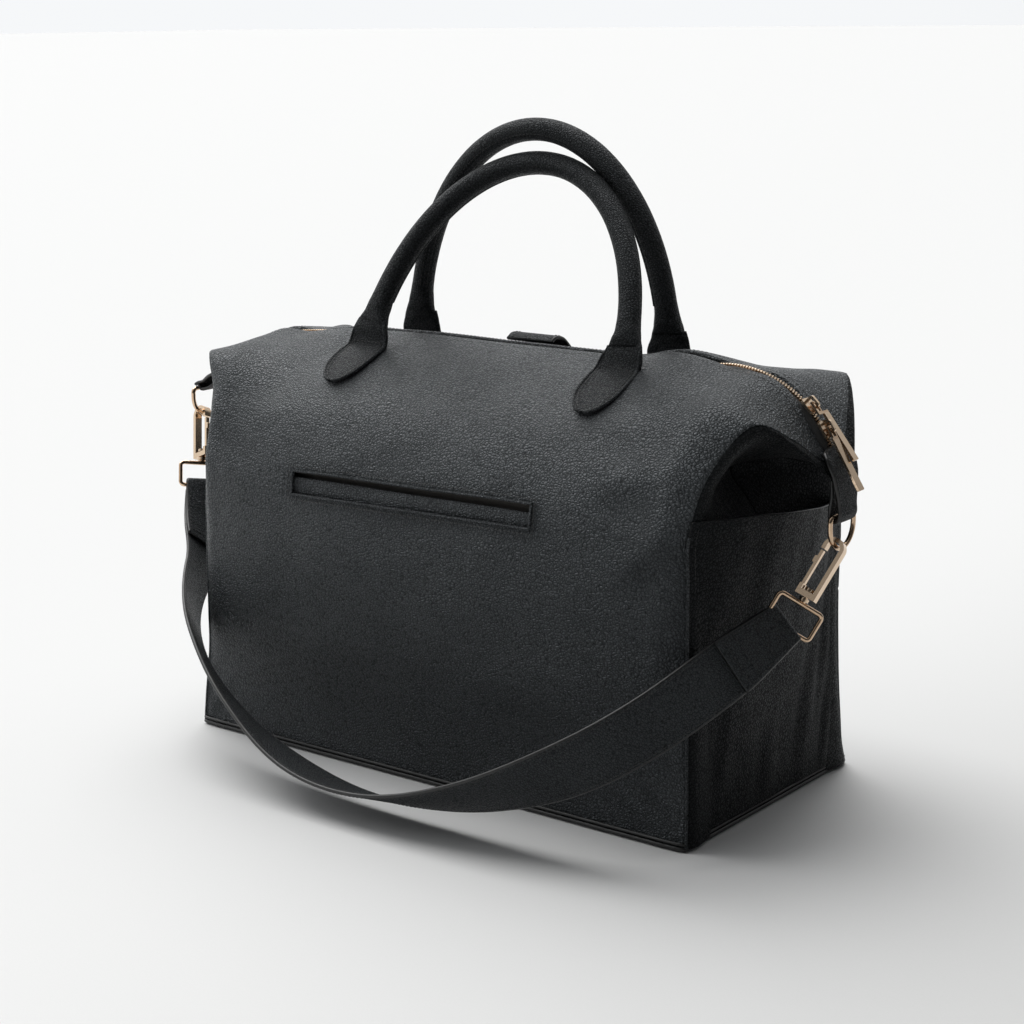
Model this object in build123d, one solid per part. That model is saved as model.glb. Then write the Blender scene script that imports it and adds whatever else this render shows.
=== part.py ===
"""Soft leather holdall for baby care, with two rolled handles, a curved two-way zip, slip pockets
at both ends and a clip-on shoulder strap.

Frame: +X to the wearer's right along the bag, -Y to the front, +Z up. The origin is on the floor
under the middle of the base. Millimetres.
"""

import math
import os

from build123d import *

os.makedirs("parts", exist_ok=True)

# Body
BASE_LENGTH = 440.0
BASE_DEPTH = 208.0
LEATHER = 2.4
LINING = 1.0
TAPER_FROM = 154.0

# Zip: a straight run with an arc at each end
ZIP_HEIGHT = 303.0
ZIP_ARC_X = 188.0
ZIP_RADIUS = 83.0
ZIP_ARC_Z = ZIP_HEIGHT - ZIP_RADIUS
ZIP_END_ANGLE = 70.0
SLIDER_ANGLES = {"a": 43.5, "b": 56.0}
PULL_DROOP = {"a": 8.0, "b": 2.0}
PULL_LENGTH = 46.0
PIN_RADIUS = ZIP_RADIUS + 5.6

# Handles
HANDLE_HALF_SPAN = 113.0
HANDLE_CENTRE_X = {"front": 8.0, "back": 1.0}
NECK_HALF = 15.5
HANDLE_TUBE = 8.0
HANDLE_WALL = 1.6
HINGE_Y = 34.0
HINGE_Z = 299.0
NECK_TOP = 28.0

# Rings, hooks and strap
RING_WIRE = 1.7
RING_ARC = 15.3
RING_DROP = 7.3
TAB_WIDTH = 23.0
TAB_PLY = 1.6
INNER_PLY_FROM = 9.0
HOOK_LENGTH = 62.0
LOOP_WIRE = 1.6
STRAP_WIDTH = 40.0
STRAP_THICKNESS = 3.0

RIGHT_BAR = Vector(272, 0, 213)
LEFT_BAR = Vector(-304, -8, 242)
RIGHT_STRAP_TARGET = Vector(254, -36, 142)
LEFT_STRAP_TARGET = Vector(-283, -38, 171)

STRAP_ROUTE = [
    (252, -45, 138),
    (246, -92, 126),
    (213, -147, 89),
    (156, -170, 55),
    (83, -180, 26),
    (8, -184, 14),
    (-69, -178, 24),
    (-150, -162, 59),
    (-224, -128, 94),
    (-269, -62, 128),
    (-282, -46, 162),
]
STRAP_ACROSS = (0.03, 0.66, -0.75)

# Outline of one side of the body, out from the middle plane and up: at mid length, and at the ends
MIDDLE_SECTION = [
    (104, 6), (112, 40), (118, 110), (119, 180), (112, 225), (92, 260), (60, 283), (30, 296), (7, 302),
]
END_SECTION = [
    (104, 6), (107, 40), (109, 110), (110, 180), (107, 222), (96, 256), (74, 278), (38, 288), (7, 292),
]


def save(shape, name):
    """Writes one sub-component."""
    export_step(shape, f"parts/{name}.step")


def inset(points, distance):
    """Moves an open outline toward the inside of the bag by a distance, corner by corner."""
    moved = []
    last = len(points) - 1
    for i, (y, z) in enumerate(points):
        y0, z0 = points[max(i - 1, 0)]
        y1, z1 = points[min(i + 1, last)]
        length = math.hypot(y1 - y0, z1 - z0)
        moved.append((y - distance * (z1 - z0) / length, z + distance * (y1 - y0) / length))
    return moved


def between(points, low, high):
    """Part of an outline whose heights lie between two values, with its cut ends added."""
    kept = []
    for (y0, z0), (y1, z1) in zip(points, points[1:]):
        for level in (low, high):
            if z0 < level < z1:
                share = (level - z0) / (z1 - z0)
                kept.append((y0 + (y1 - y0) * share, level))
        if low <= z1 <= high:
            kept.append((y1, z1))
    if low <= points[0][1] <= high:
        kept.insert(0, points[0])
    return sorted(kept, key=lambda point: point[1])


def polygon(points):
    """Flat face on a closed run of points."""
    return Face(Wire.make_polygon(points, close=True))


def ring_loft(rings):
    """Solid through a row of polygons that have the same number of corners."""
    return Solid.make_loft([Wire.make_polygon(ring, close=True) for ring in rings], ruled=True)


def section_at(x):
    """Outline of the body at one station: constant in the middle, slimmer toward the ends."""
    share = max(0.0, (abs(x) - TAPER_FROM) / (BASE_LENGTH / 2 - TAPER_FROM))
    mixed = []
    for (y0, z0), (y1, z1) in zip(MIDDLE_SECTION, END_SECTION):
        mixed.append((y0 + (y1 - y0) * share, z0 + (z1 - z0) * share))
    return mixed


def band(outer_depth, inner_depth, half_length, low=0.0, high=400.0, side=-1):
    """Wall that follows the body's section, between two depths under its outer face."""
    stations = [-half_length, half_length]
    if half_length > TAPER_FROM:
        stations[1:1] = [-TAPER_FROM, TAPER_FROM]
    rings = []
    for x in stations:
        section = section_at(x)
        outer = between(inset(section, outer_depth), low, high)
        inner = between(inset(section, inner_depth), low, high)
        loop = outer + inner[::-1]
        rings.append([(x, side * y, z) for y, z in loop])
    return ring_loft(rings)


def side_prism(points, y_from, y_to):
    """Prism along Y on an outline given as (x, z)."""
    face = polygon([(x, y_from, z) for x, z in points])
    return extrude(face, amount=y_to - y_from, dir=(0, 1, 0))


def end_prism(points, x_from, x_to):
    """Prism along X on an outline given as (y, z)."""
    face = polygon([(x_from, y, z) for y, z in points])
    return extrude(face, amount=x_to - x_from, dir=(1, 0, 0))


def block(x, y, z):
    """Box between pairs of limits."""
    size = (x[1] - x[0], y[1] - y[0], z[1] - z[0])
    middle = ((x[0] + x[1]) / 2, (y[0] + y[1]) / 2, (z[0] + z[1]) / 2)
    return Pos(*middle) * Box(*size)


def zip_point(angle, radius, side=1):
    """Point on an end arc of the zip, at an angle from the top and a radius from the arc's centre."""
    turn = math.radians(angle)
    return (side * (ZIP_ARC_X + radius * math.sin(turn)), ZIP_ARC_Z + radius * math.cos(turn))


def zip_strip(y_from, y_to, under, over):
    """Strip that follows the whole zip line, between two radii and two depths."""
    angles = [ZIP_END_ANGLE * i / 8 for i in range(9)]
    top = [zip_point(a, ZIP_RADIUS + over, -1) for a in angles[::-1]]
    top += [zip_point(a, ZIP_RADIUS + over) for a in angles]
    bottom = [zip_point(a, ZIP_RADIUS + under) for a in angles[::-1]]
    bottom += [zip_point(a, ZIP_RADIUS + under, -1) for a in angles]
    return side_prism(top + bottom, y_from, y_to)


def wire_loop(path, radius):
    """Round wire along a closed path."""
    start = path.position_at(0)
    section = Plane(origin=start, z_dir=path.tangent_at(0)) * Circle(radius)
    return sweep(section, path=path)


# --- Leather body -----------------------------------------------------------------------------


def wing(side_x, side_y):
    """Upper corner of a panel, from the shoulder out to the end of the zip."""
    stations = [
        (220.0, [(74, 278), (38, 288), (7, 292)]),
        (236.0, [(62, 274), (32, 281), (7, 284)]),
        (250.0, [(38, 264), (22, 270), (7, 272)]),
        (260.0, [(16, 252), (12, 255), (7, 256)]),
    ]
    rings = []
    for x, outer in stations:
        inner = [(y, z - LEATHER) for y, z in outer]
        rings.append([(side_x * x, side_y * y, z) for y, z in outer + inner[::-1]])
    return ring_loft(rings)


def panel(side_y):
    """Front or back panel of the bag, with its two upper corners."""
    solid = band(0.0, LEATHER, BASE_LENGTH / 2, low=6.0, side=side_y)
    return solid + wing(1, side_y) + wing(-1, side_y)


WINDOW_X = (-109.0, 105.5)
WINDOW_Z = (200.0, 216.0)
STRIP_TOP = 208.6
window = block(WINDOW_X, (-130, -110), WINDOW_Z)
slit = block((WINDOW_X[0] + 6, WINDOW_X[1] - 6), (-130, -104), (STRIP_TOP, WINDOW_Z[1]))

front_panel = panel(-1) - window
back_panel = panel(1)
save(front_panel, "front_panel")
save(back_panel, "back_panel")

base_panel = block((-219.2, 219.2), (-103, 103), (3.6, 5.8))
save(base_panel, "base_panel")

base_board = block((-205, 205), (-84, 84), (9.0, 11.5))
save(base_board, "base_board")

foot = Pos(0, 0, 1.8) * Cylinder(7, 3.6)
foot = fillet(foot.edges().group_by(Axis.Z)[0], 2.6)
feet_places = [(-185, -80), (185, -80), (-185, 80), (185, 80), (0, 0)]
save(Compound([Pos(x, y, 0) * foot for x, y in feet_places]), "base_feet")

rim_outer = Pos(0, 0, 4.6) * Box(BASE_LENGTH + 4, BASE_DEPTH + 4, 2.4)
rim_inner = Pos(0, 0, 4.6) * Box(BASE_LENGTH - 1, BASE_DEPTH - 1.6, 6)
save(rim_outer - rim_inner, "base_piping")

seam = block((220.4, 222.6), (101.9, 104.1), (8, 212))
seams = [seam, mirror(seam, about=Plane.XZ), mirror(seam, about=Plane.YZ)]
seams.append(mirror(seams[1], about=Plane.YZ))
save(Compound(seams), "side_piping")


def body_hollow(x):
    """Whole outline of the space inside the panels at one station."""
    half = inset(section_at(x), LEATHER + 0.4)
    return half + [(-y, z) for y, z in half[::-1]]


def gusset():
    """Right end wall, folded inward above the pocket, cut to fit inside the panels."""
    outer = [(219.0, 6.2), (219.0, 206), (197, 238), (214, 268)]
    inner = [(211.6, 268), (194.4, 238), (216.6, 205), (216.6, 6.2)]
    wall = side_prism(outer + inner, -100, 100)
    room = ring_loft([[(x, y, z) for y, z in body_hollow(x)] for x in (190.0, 219.5)])
    return wall & room


gusset_right = gusset()
save(gusset_right, "gusset_right")
save(mirror(gusset_right, about=Plane.YZ), "gusset_left")


def pocket_edge(bulge, inner):
    """Plan outline of an end pocket's wall at one height."""
    steps = [-100 + 25 * i for i in range(9)]
    outline = [(221.8 + bulge * (1 - (y / 100) ** 2), y) for y in steps]
    return [(x - inner, y) for x, y in outline]


def side_pocket():
    """Right end pocket: a wall that stands off the gusset toward its mouth."""
    rings = []
    for z, bulge in ((8.0, 1.0), (110.0, 10.0), (212.0, 22.0)):
        outline = pocket_edge(bulge, 0.0) + pocket_edge(bulge, 2.0)[::-1]
        rings.append([(x, y, z) for x, y in outline])
    return ring_loft(rings)


save(side_pocket(), "side_pocket_right")
save(mirror(side_pocket(), about=Plane.YZ), "side_pocket_left")


# --- Front and back pockets --------------------------------------------------------------------


def hollow_pouch(half_length, outer_depth, inner_depth, low, high, wall, side):
    """Flat pouch that follows the body: two plies closed at the bottom and at both ends."""
    solid = band(outer_depth, inner_depth, half_length, low, high, side)
    room = band(outer_depth + wall, inner_depth - wall, half_length - wall, low + wall, high - wall, side)
    return solid - room


POUCH_HALF = 110.0
pouch = hollow_pouch(POUCH_HALF, 2.8, 9.2, 95, 224, 0.8, -1) - slit
save(pouch, "front_pocket_bag")

strip_outer = between(inset(MIDDLE_SECTION, 0.0), WINDOW_Z[0] + 0.3, STRIP_TOP)
strip_inner = between(inset(MIDDLE_SECTION, 2.2), WINDOW_Z[0] + 0.3, STRIP_TOP)
strip_outline = [(-y, z) for y, z in strip_outer + strip_inner[::-1]]
save(end_prism(strip_outline, WINDOW_X[0] + 0.3, WINDOW_X[1] - 0.3), "front_welt")

BACK_POCKET_HALF = 118.0
BACK_POCKET_LOW = 62.0
BACK_POCKET_HIGH = 184.0
back_pocket = hollow_pouch(BACK_POCKET_HALF, -7.8, -0.3, BACK_POCKET_LOW, BACK_POCKET_HIGH + 4, 1.0, 1)
back_pocket -= block((-120, 120), (100, 140), (BACK_POCKET_HIGH, 200))
save(back_pocket, "back_pocket")


# --- Lining and what is inside ------------------------------------------------------------------


def lining_shell():
    """Open-topped lining that follows the body inside the padding."""
    outer = inset(MIDDLE_SECTION, 10.5)
    inner = inset(MIDDLE_SECTION, 10.5 + LINING)
    outer[0] = (outer[0][0], 12.0)
    inner[0] = (inner[0][0], 12.0 + LINING)
    full = end_prism(outer + [(-y, z) for y, z in outer[::-1]], -188, 188)
    room = end_prism(inner + [(-y, z) for y, z in inner[::-1]], -188 + LINING, 188 - LINING)
    mouth = block((-180, 180), (-14, 14), (270, 310))
    return full - room - mouth


save(lining_shell(), "lining")

save(block((-150, 150), (-87, -86), (20, 165)), "inner_pocket_front")
save(block((-150, 150), (86, 87), (20, 165)), "inner_pocket_back")


# --- Zip ---------------------------------------------------------------------------------------

tape_front = zip_strip(-6.8, -2.9, -0.6, 0.2)
save(tape_front, "zip_tape_front")
save(mirror(tape_front, about=Plane.XZ), "zip_tape_back")
chain_front = zip_strip(-2.7, -0.9, -1.1, 1.1)
save(chain_front, "zip_chain_front")
save(mirror(chain_front, about=Plane.XZ), "zip_chain_back")


def slider():
    """Zip slider in its own frame: X along the chain, Z away from the bag, origin on the zip line."""
    upper = Pos(0, 0, 2.3) * Box(12, 10.6, 1.6)
    lower = Pos(0, 0, -2.4) * Box(12, 10.6, 1.6)
    upper = fillet(upper.edges().filter_by(Axis.Z), 2.4)
    lower = fillet(lower.edges().filter_by(Axis.Z), 2.4)
    post = Box(3, 1.3, 5)
    bridge = Pos(0, 0, 5.8) * Box(9.2, 2.0, 5.6)
    bridge = fillet(bridge.edges().filter_by(Axis.Y).group_by(Axis.Z)[-1], 2.2)
    window = Pos(0, 0, 5.2) * Box(6.0, 4, 4.0)
    return upper + lower + post + (bridge - window)


def pull(width_from, width_to):
    """Zip pull in its own frame: X along the pull, Y across, origin on the pin under the bridge."""
    pin = Rot(90, 0, 0) * Cylinder(0.9, 5.6)
    arms = Pos(3.9, 0, 0) * (Box(9.2, 5.6, 1.4) - Pos(-0.4, 0, 0) * Box(7.0, 3.4, 3))
    low = min(width_from, -2.8)
    high = max(width_to, 2.8)
    yoke = Pos(8.4, (low + high) / 2, 0) * Box(1.8, high - low, 1.4)
    bar_length = PULL_LENGTH - 9.0
    bar = Pos(9.0 + bar_length / 2, (width_from + width_to) / 2, 0) * Box(
        bar_length, width_to - width_from, 1.6
    )
    bar = fillet(bar.edges().filter_by(Axis.Z), 1.2)
    return pin + arms + yoke + bar


def on_arc(angle, radius):
    """Frame on the right zip arc, X along the travel and Z outward."""
    x, z = zip_point(angle, radius)
    turn = math.radians(angle)
    along = (math.cos(turn), 0, -math.sin(turn))
    out = (math.sin(turn), 0, math.cos(turn))
    return Plane(origin=(x, 0, z), x_dir=along, z_dir=out)


PULL_SIDES = {"a": (3.4, 9.4), "b": (-4.2, 2.8)}
for letter, angle in SLIDER_ANGLES.items():
    save(on_arc(angle, ZIP_RADIUS).location * slider(), f"zip_slider_{letter}")
    hung = on_arc(angle, PIN_RADIUS).location * Rot(0, PULL_DROOP[letter], 0)
    save(hung * pull(*PULL_SIDES[letter]), f"zip_pull_{letter}")


# --- Rings and their leather tabs ----------------------------------------------------------------


def ring(bar):
    """D-ring that hangs from its straight bar, which lies along Y."""
    centre_z = -RING_DROP
    corner = 3.6
    side = Line((0, RING_ARC, centre_z), (0, RING_ARC, -corner))
    arc = ThreePointArc(
        (0, -RING_ARC, centre_z), (0, 0, centre_z - RING_ARC), (0, RING_ARC, centre_z)
    )
    half_turn = math.sqrt(0.5) * corner
    first = ThreePointArc(
        (0, RING_ARC, -corner),
        (0, RING_ARC - corner + half_turn, -corner + half_turn),
        (0, RING_ARC - corner, 0),
    )
    last = ThreePointArc(
        (0, -RING_ARC + corner, 0),
        (0, -RING_ARC + corner - half_turn, -corner + half_turn),
        (0, -RING_ARC, -corner),
    )
    top = Line((0, RING_ARC - corner, 0), (0, -RING_ARC + corner, 0))
    other = Line((0, -RING_ARC, -corner), (0, -RING_ARC, centre_z))
    path = Wire([arc.edge(), side.edge(), first.edge(), top.edge(), last.edge(), other.edge()])
    return Pos(bar) * wire_loop(path, RING_WIRE)


save(ring(RIGHT_BAR), "d_ring_right")
save(ring(LEFT_BAR), "d_ring_left")


def fold_round(length, radius, angles):
    """Points of a fold round the end of a tab, at angles from its outer face."""
    return [(length + radius * math.sin(t), radius * math.cos(t)) for t in angles]


def tab(start, bar, lean):
    """Leather tab, two plies that run from the end of the zip to the fold round a ring's bar."""
    along = (bar - start).normalized()
    out = Vector(along.Z, 0, -along.X).normalized() * lean
    length = (bar - start).length
    gap = RING_WIRE + 0.5
    face_depth = gap + TAB_PLY
    frame = Plane(origin=start, x_dir=along, z_dir=along.cross(out))
    turn = [math.pi * step / 6 for step in range(1, 6)]
    outer = [(0, gap), (0, face_depth), (length, face_depth)]
    outer += fold_round(length, face_depth, turn)
    outer += [(length, -face_depth), (INNER_PLY_FROM, -face_depth), (INNER_PLY_FROM, -gap), (length, -gap)]
    outer += fold_round(length, gap, turn[::-1])
    outer += [(length, gap)]
    return extrude(frame * polygon(outer), amount=TAB_WIDTH / 2, both=True, dir=frame.z_dir)


zip_end_x, zip_end_z = zip_point(70, ZIP_RADIUS + 3.2)
right_start = Vector(zip_end_x, 0, zip_end_z - 3.0)
left_start = Vector(-right_start.X - 4.0, LEFT_BAR.Y, right_start.Z + 2.0)
save(tab(right_start, RIGHT_BAR, -1), "end_tab_right")
save(tab(left_start, LEFT_BAR, 1), "end_tab_left")


# --- Handles and their chapes --------------------------------------------------------------------


def chape(face, side_x):
    """Teardrop leather patch on the front panel, under one end of a handle."""
    cover = band(-2.2, -0.3, BASE_LENGTH / 2, 262, 301, -1)
    middle = HANDLE_CENTRE_X[face] + side_x * HANDLE_HALF_SPAN
    outline = [
        (-NECK_HALF, -36.5), (NECK_HALF, -36.5), (15, -54), (11, -68), (0, -81), (-11, -68), (-15, -54),
    ]
    teardrop = polygon([(middle + x, y, 240) for x, y in outline])
    return cover & extrude(teardrop, amount=80, dir=(0, 0, 1))


for side_x, side_name in ((-1, "left"), (1, "right")):
    save(chape("front", side_x), f"chape_front_{side_name}")
    save(mirror(chape("back", side_x), about=Plane.XZ), f"chape_back_{side_name}")


def handle_parts(height):
    """Rolled cover with its two flat necks, and the rope core, standing upright on the hinge line."""
    start = math.degrees(math.asin(NECK_TOP / height))
    path = Edge.make_ellipse(
        HANDLE_HALF_SPAN, height, Plane.XZ, start_angle=start, end_angle=180 - start
    )
    end = path.position_at(0)
    section = Plane(origin=end, z_dir=path.tangent_at(0))
    tube = sweep(section * Circle(HANDLE_TUBE), path=path)
    core = sweep(section * Circle(HANDLE_TUBE - HANDLE_WALL - 0.05), path=path)
    cover = sweep(section * (Circle(HANDLE_TUBE) - Circle(HANDLE_TUBE - HANDLE_WALL)), path=path)
    foot = HANDLE_HALF_SPAN
    top = foot - 2.5
    neck = [
        (foot - NECK_HALF, 1.5), (foot + NECK_HALF, 1.5), (top + 8, NECK_TOP + 1), (top - 8, NECK_TOP + 1),
    ]
    for side in (-1, 1):
        cover += side_prism([(side * x, z) for x, z in neck], -2.6, 2.6) - tube
    return cover, core


def stand(shape, face, side_y, tilt):
    """Moves an upright handle to its hinge line and leans it."""
    return Pos(HANDLE_CENTRE_X[face], side_y * HINGE_Y, HINGE_Z) * (Rot(tilt, 0, 0) * shape)


FRONT_TILT = -26.0
BACK_TILT = 0.0
for name, side_y, tilt, height in (("front", -1, FRONT_TILT, 144.0), ("back", 1, BACK_TILT, 152.5)):
    cover, core = handle_parts(height)
    save(stand(cover, name, side_y, tilt), f"handle_{name}")
    save(stand(core, name, side_y, tilt), f"handle_core_{name}")


# --- Back closing tab ----------------------------------------------------------------------------

TAB_FROM = -35.0
TAB_TO = 15.0


def closing_tab():
    """Leather tab that rolls over the top of the back panel and hangs over the back pocket."""
    upper = [(38, 301.5), (44, 303), (50, 300), (62, 288), (95, 264.5), (113, 237), (118, 215)]
    lower = [(120.5, 215), (115.4, 238.2), (96.6, 266.5), (63.4, 290), (52, 303.5), (45, 306.5), (37, 305)]
    return end_prism(upper + lower, TAB_FROM, TAB_TO)


save(closing_tab(), "back_tab")

# --- Snap hooks, loops and strap ------------------------------------------------------------------


def hook_frame(bar, target, outward):
    """Frame of a snap hook: origin on the ring's wire, -Z along the hook to the strap, +X outward."""
    centre = bar - Vector(0, 0, RING_DROP)
    reach = target - centre
    contact = centre + Vector(0, reach.Y, reach.Z).normalized() * RING_ARC
    up = (contact - target).normalized()
    across = Vector(0, 1, 0) - up * up.Y
    spine = across.normalized().cross(up)
    if spine.X * outward < 0:
        spine = spine * -1
    return Plane(origin=contact, x_dir=spine, z_dir=up)


HOOK_WIDTH = 6.4
HOOK_SPINE = 6.0
HOOK_FOOT = -36.0


def hook_body():
    """Snap hook: spine, round eye, short nose and cross bar with the swivel bore."""
    arch = Pos(0, 0, -1.6) * Rot(90, 0, 0) * (Cylinder(7.4, HOOK_WIDTH) - Cylinder(4.8, HOOK_WIDTH + 2))
    arch = arch & Pos(0, 0, 8.4) * Box(30, 30, 20)
    spine_length = -HOOK_FOOT + 0.4
    spine = Pos(HOOK_SPINE, 0, -1.6 - spine_length / 2) * Box(2.8, HOOK_WIDTH, spine_length)
    nose = Pos(-HOOK_SPINE, 0, -3.2) * Box(2.8, HOOK_WIDTH, 3.2)
    cross = Pos(0, 0, HOOK_FOOT) * Box(14.8, HOOK_WIDTH, 4.0)
    bore = Pos(0, 0, HOOK_FOOT) * Cylinder(2.4, 8)
    ears = Pos(-6.1, 0, HOOK_FOOT + 3) * (Box(2.6, HOOK_WIDTH, 4.4) - Pos(0, 0, 1.2) * Box(4, 3.6, 6))
    return arch + spine + nose + cross + ears - bore


def hook_gate():
    """Sprung gate of the snap hook, with a thumb bump, closed against the nose."""
    blade = Pos(-HOOK_SPINE, 0, -18.6) * Box(2.2, 3.2, 25.6)
    bump = Pos(-HOOK_SPINE - 1.6, 0, -13.0) * Box(2.0, 3.2, 5.0)
    bump = fillet(bump.edges().filter_by(Axis.Y).group_by(Axis.X)[0], 0.9)
    return blade + bump


def strap_loop(twist):
    """Swivel post with its head and collar, and the rectangular wire loop that holds the strap."""
    head = Pos(0, 0, HOOK_FOOT + 3.4) * Cylinder(3.3, 2.0)
    post = Pos(0, 0, HOOK_FOOT - 1.3) * Cylinder(2.0, 9.0)
    collar = Pos(0, 0, HOOK_FOOT - 3.8) * Cylinder(3.3, 2.2)
    half = 17.2
    top = HOOK_FOOT - 7.0
    bottom = -HOOK_LENGTH
    corners = [(-half, 0, top), (half, 0, top), (half, 0, bottom), (-half, 0, bottom)]
    path = FilletPolyline(*corners, close=True, radius=3.0)
    loop = wire_loop(path, LOOP_WIRE)
    return Rot(0, 0, twist) * (head + post + collar + loop)


HOOKS = {
    "right": (RIGHT_BAR, RIGHT_STRAP_TARGET, 1, 43.0),
    "left": (LEFT_BAR, LEFT_STRAP_TARGET, -1, 60.0),
}
for name, (bar, target, outward, twist) in HOOKS.items():
    place = hook_frame(bar, target, outward).location
    save(place * hook_body(), f"hook_{name}")
    save(place * hook_gate(), f"hook_gate_{name}")
    save(place * strap_loop(twist), f"strap_loop_{name}")


def strap_line():
    """Centre line of the strap: straight runs joined by tangent arcs."""
    route = [Vector(*point) for point in STRAP_ROUTE]
    runs = [b - a for a, b in zip(route, route[1:])]
    radii = []
    for first, second in zip(runs, runs[1:]):
        half_turn = math.radians(first.get_angle(second)) / 2
        radii.append(0.45 * min(first.length, second.length) / math.tan(half_turn))
    print("strap arc radii", [round(radius) for radius in radii])
    return FilletPolyline(*route, radius=radii)


def strap():
    """Flat shoulder strap along its centre line, its width always turned the same way."""
    line = strap_line()
    across = Vector(*STRAP_ACROSS)
    stations = []
    for edge in line.edges():
        shares = (0.0, 1.0) if edge.geom_type == GeomType.LINE else (0.25, 0.5, 0.75)
        stations += [(edge.position_at(share), edge.tangent_at(share)) for share in shares]
    rings = []
    for centre, along in stations:
        wide = (across - along * across.dot(along)).normalized() * (STRAP_WIDTH / 2)
        thick = along.cross(wide).normalized() * (STRAP_THICKNESS / 2)
        corners = ((1, 1), (1, -1), (-1, -1), (-1, 1))
        rings.append([tuple(centre + wide * a + thick * b) for a, b in corners])
    solid = ring_loft(rings)
    print("strap length", line.length)
    print("strap volume ratio", solid.volume / (line.length * STRAP_WIDTH * STRAP_THICKNESS))
    return solid


save(strap(), "shoulder_strap")
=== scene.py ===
"""Leather diaper bag: soft leather, stitching, zip teeth and finishes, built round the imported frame.

Sizes in this script are millimetres in the frame's own axes (+X along the bag, -Y front, +Z up);
mesh_piece turns them into metres.
"""

import math

import bpy
import numpy as np
from mathutils import Matrix, Vector, noise


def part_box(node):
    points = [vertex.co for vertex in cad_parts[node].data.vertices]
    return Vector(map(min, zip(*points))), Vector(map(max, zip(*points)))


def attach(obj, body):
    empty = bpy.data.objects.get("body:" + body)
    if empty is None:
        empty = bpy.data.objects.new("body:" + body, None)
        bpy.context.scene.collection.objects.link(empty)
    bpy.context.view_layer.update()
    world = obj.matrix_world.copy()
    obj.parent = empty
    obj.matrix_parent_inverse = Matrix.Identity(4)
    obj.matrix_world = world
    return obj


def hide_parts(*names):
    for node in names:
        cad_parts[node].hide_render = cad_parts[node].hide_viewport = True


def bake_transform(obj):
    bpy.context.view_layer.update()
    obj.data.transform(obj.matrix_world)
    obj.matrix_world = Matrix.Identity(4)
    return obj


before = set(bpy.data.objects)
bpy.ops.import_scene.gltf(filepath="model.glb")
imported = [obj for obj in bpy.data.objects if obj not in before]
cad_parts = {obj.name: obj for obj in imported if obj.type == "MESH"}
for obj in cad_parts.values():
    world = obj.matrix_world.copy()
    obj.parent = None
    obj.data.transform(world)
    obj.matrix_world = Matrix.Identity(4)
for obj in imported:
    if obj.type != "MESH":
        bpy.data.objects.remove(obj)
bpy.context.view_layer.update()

MM = 0.001


def limits(node):
    """Lowest and highest corner of a CAD node, in millimetres."""
    low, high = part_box(node)
    return np.array(low) / MM, np.array(high) / MM


# --- Camera ---------------------------------------------------------------------------------------

CAMERA_PLACE = (0.9256, -1.1884, 0.5327)
CAMERA_TURN = math.radians(37.91)
CAMERA_DOWN = math.radians(13.27)
CAMERA_ROLL = math.radians(-0.64)
CAMERA_LENS = 74.46


def make_camera():
    """Long lens, from the right of the front and a little above the top of the bag."""
    data = bpy.data.cameras.new("camera")
    data.lens = CAMERA_LENS
    data.sensor_width = 36.0
    data.clip_start = 0.05
    camera = bpy.data.objects.new("camera", data)
    right = Vector((math.cos(CAMERA_TURN), math.sin(CAMERA_TURN), 0))
    ahead = Vector((
        -math.sin(CAMERA_TURN) * math.cos(CAMERA_DOWN),
        math.cos(CAMERA_TURN) * math.cos(CAMERA_DOWN),
        -math.sin(CAMERA_DOWN),
    ))
    up = right.cross(ahead)
    x_axis = right * math.cos(CAMERA_ROLL) + up * math.sin(CAMERA_ROLL)
    y_axis = up * math.cos(CAMERA_ROLL) - right * math.sin(CAMERA_ROLL)
    turn = Matrix((x_axis, y_axis, -ahead)).transposed().to_4x4()
    camera.matrix_world = Matrix.Translation(CAMERA_PLACE) @ turn
    bpy.context.scene.collection.objects.link(camera)
    bpy.context.scene.camera = camera


make_camera()


# --- Materials ------------------------------------------------------------------------------------


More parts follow.
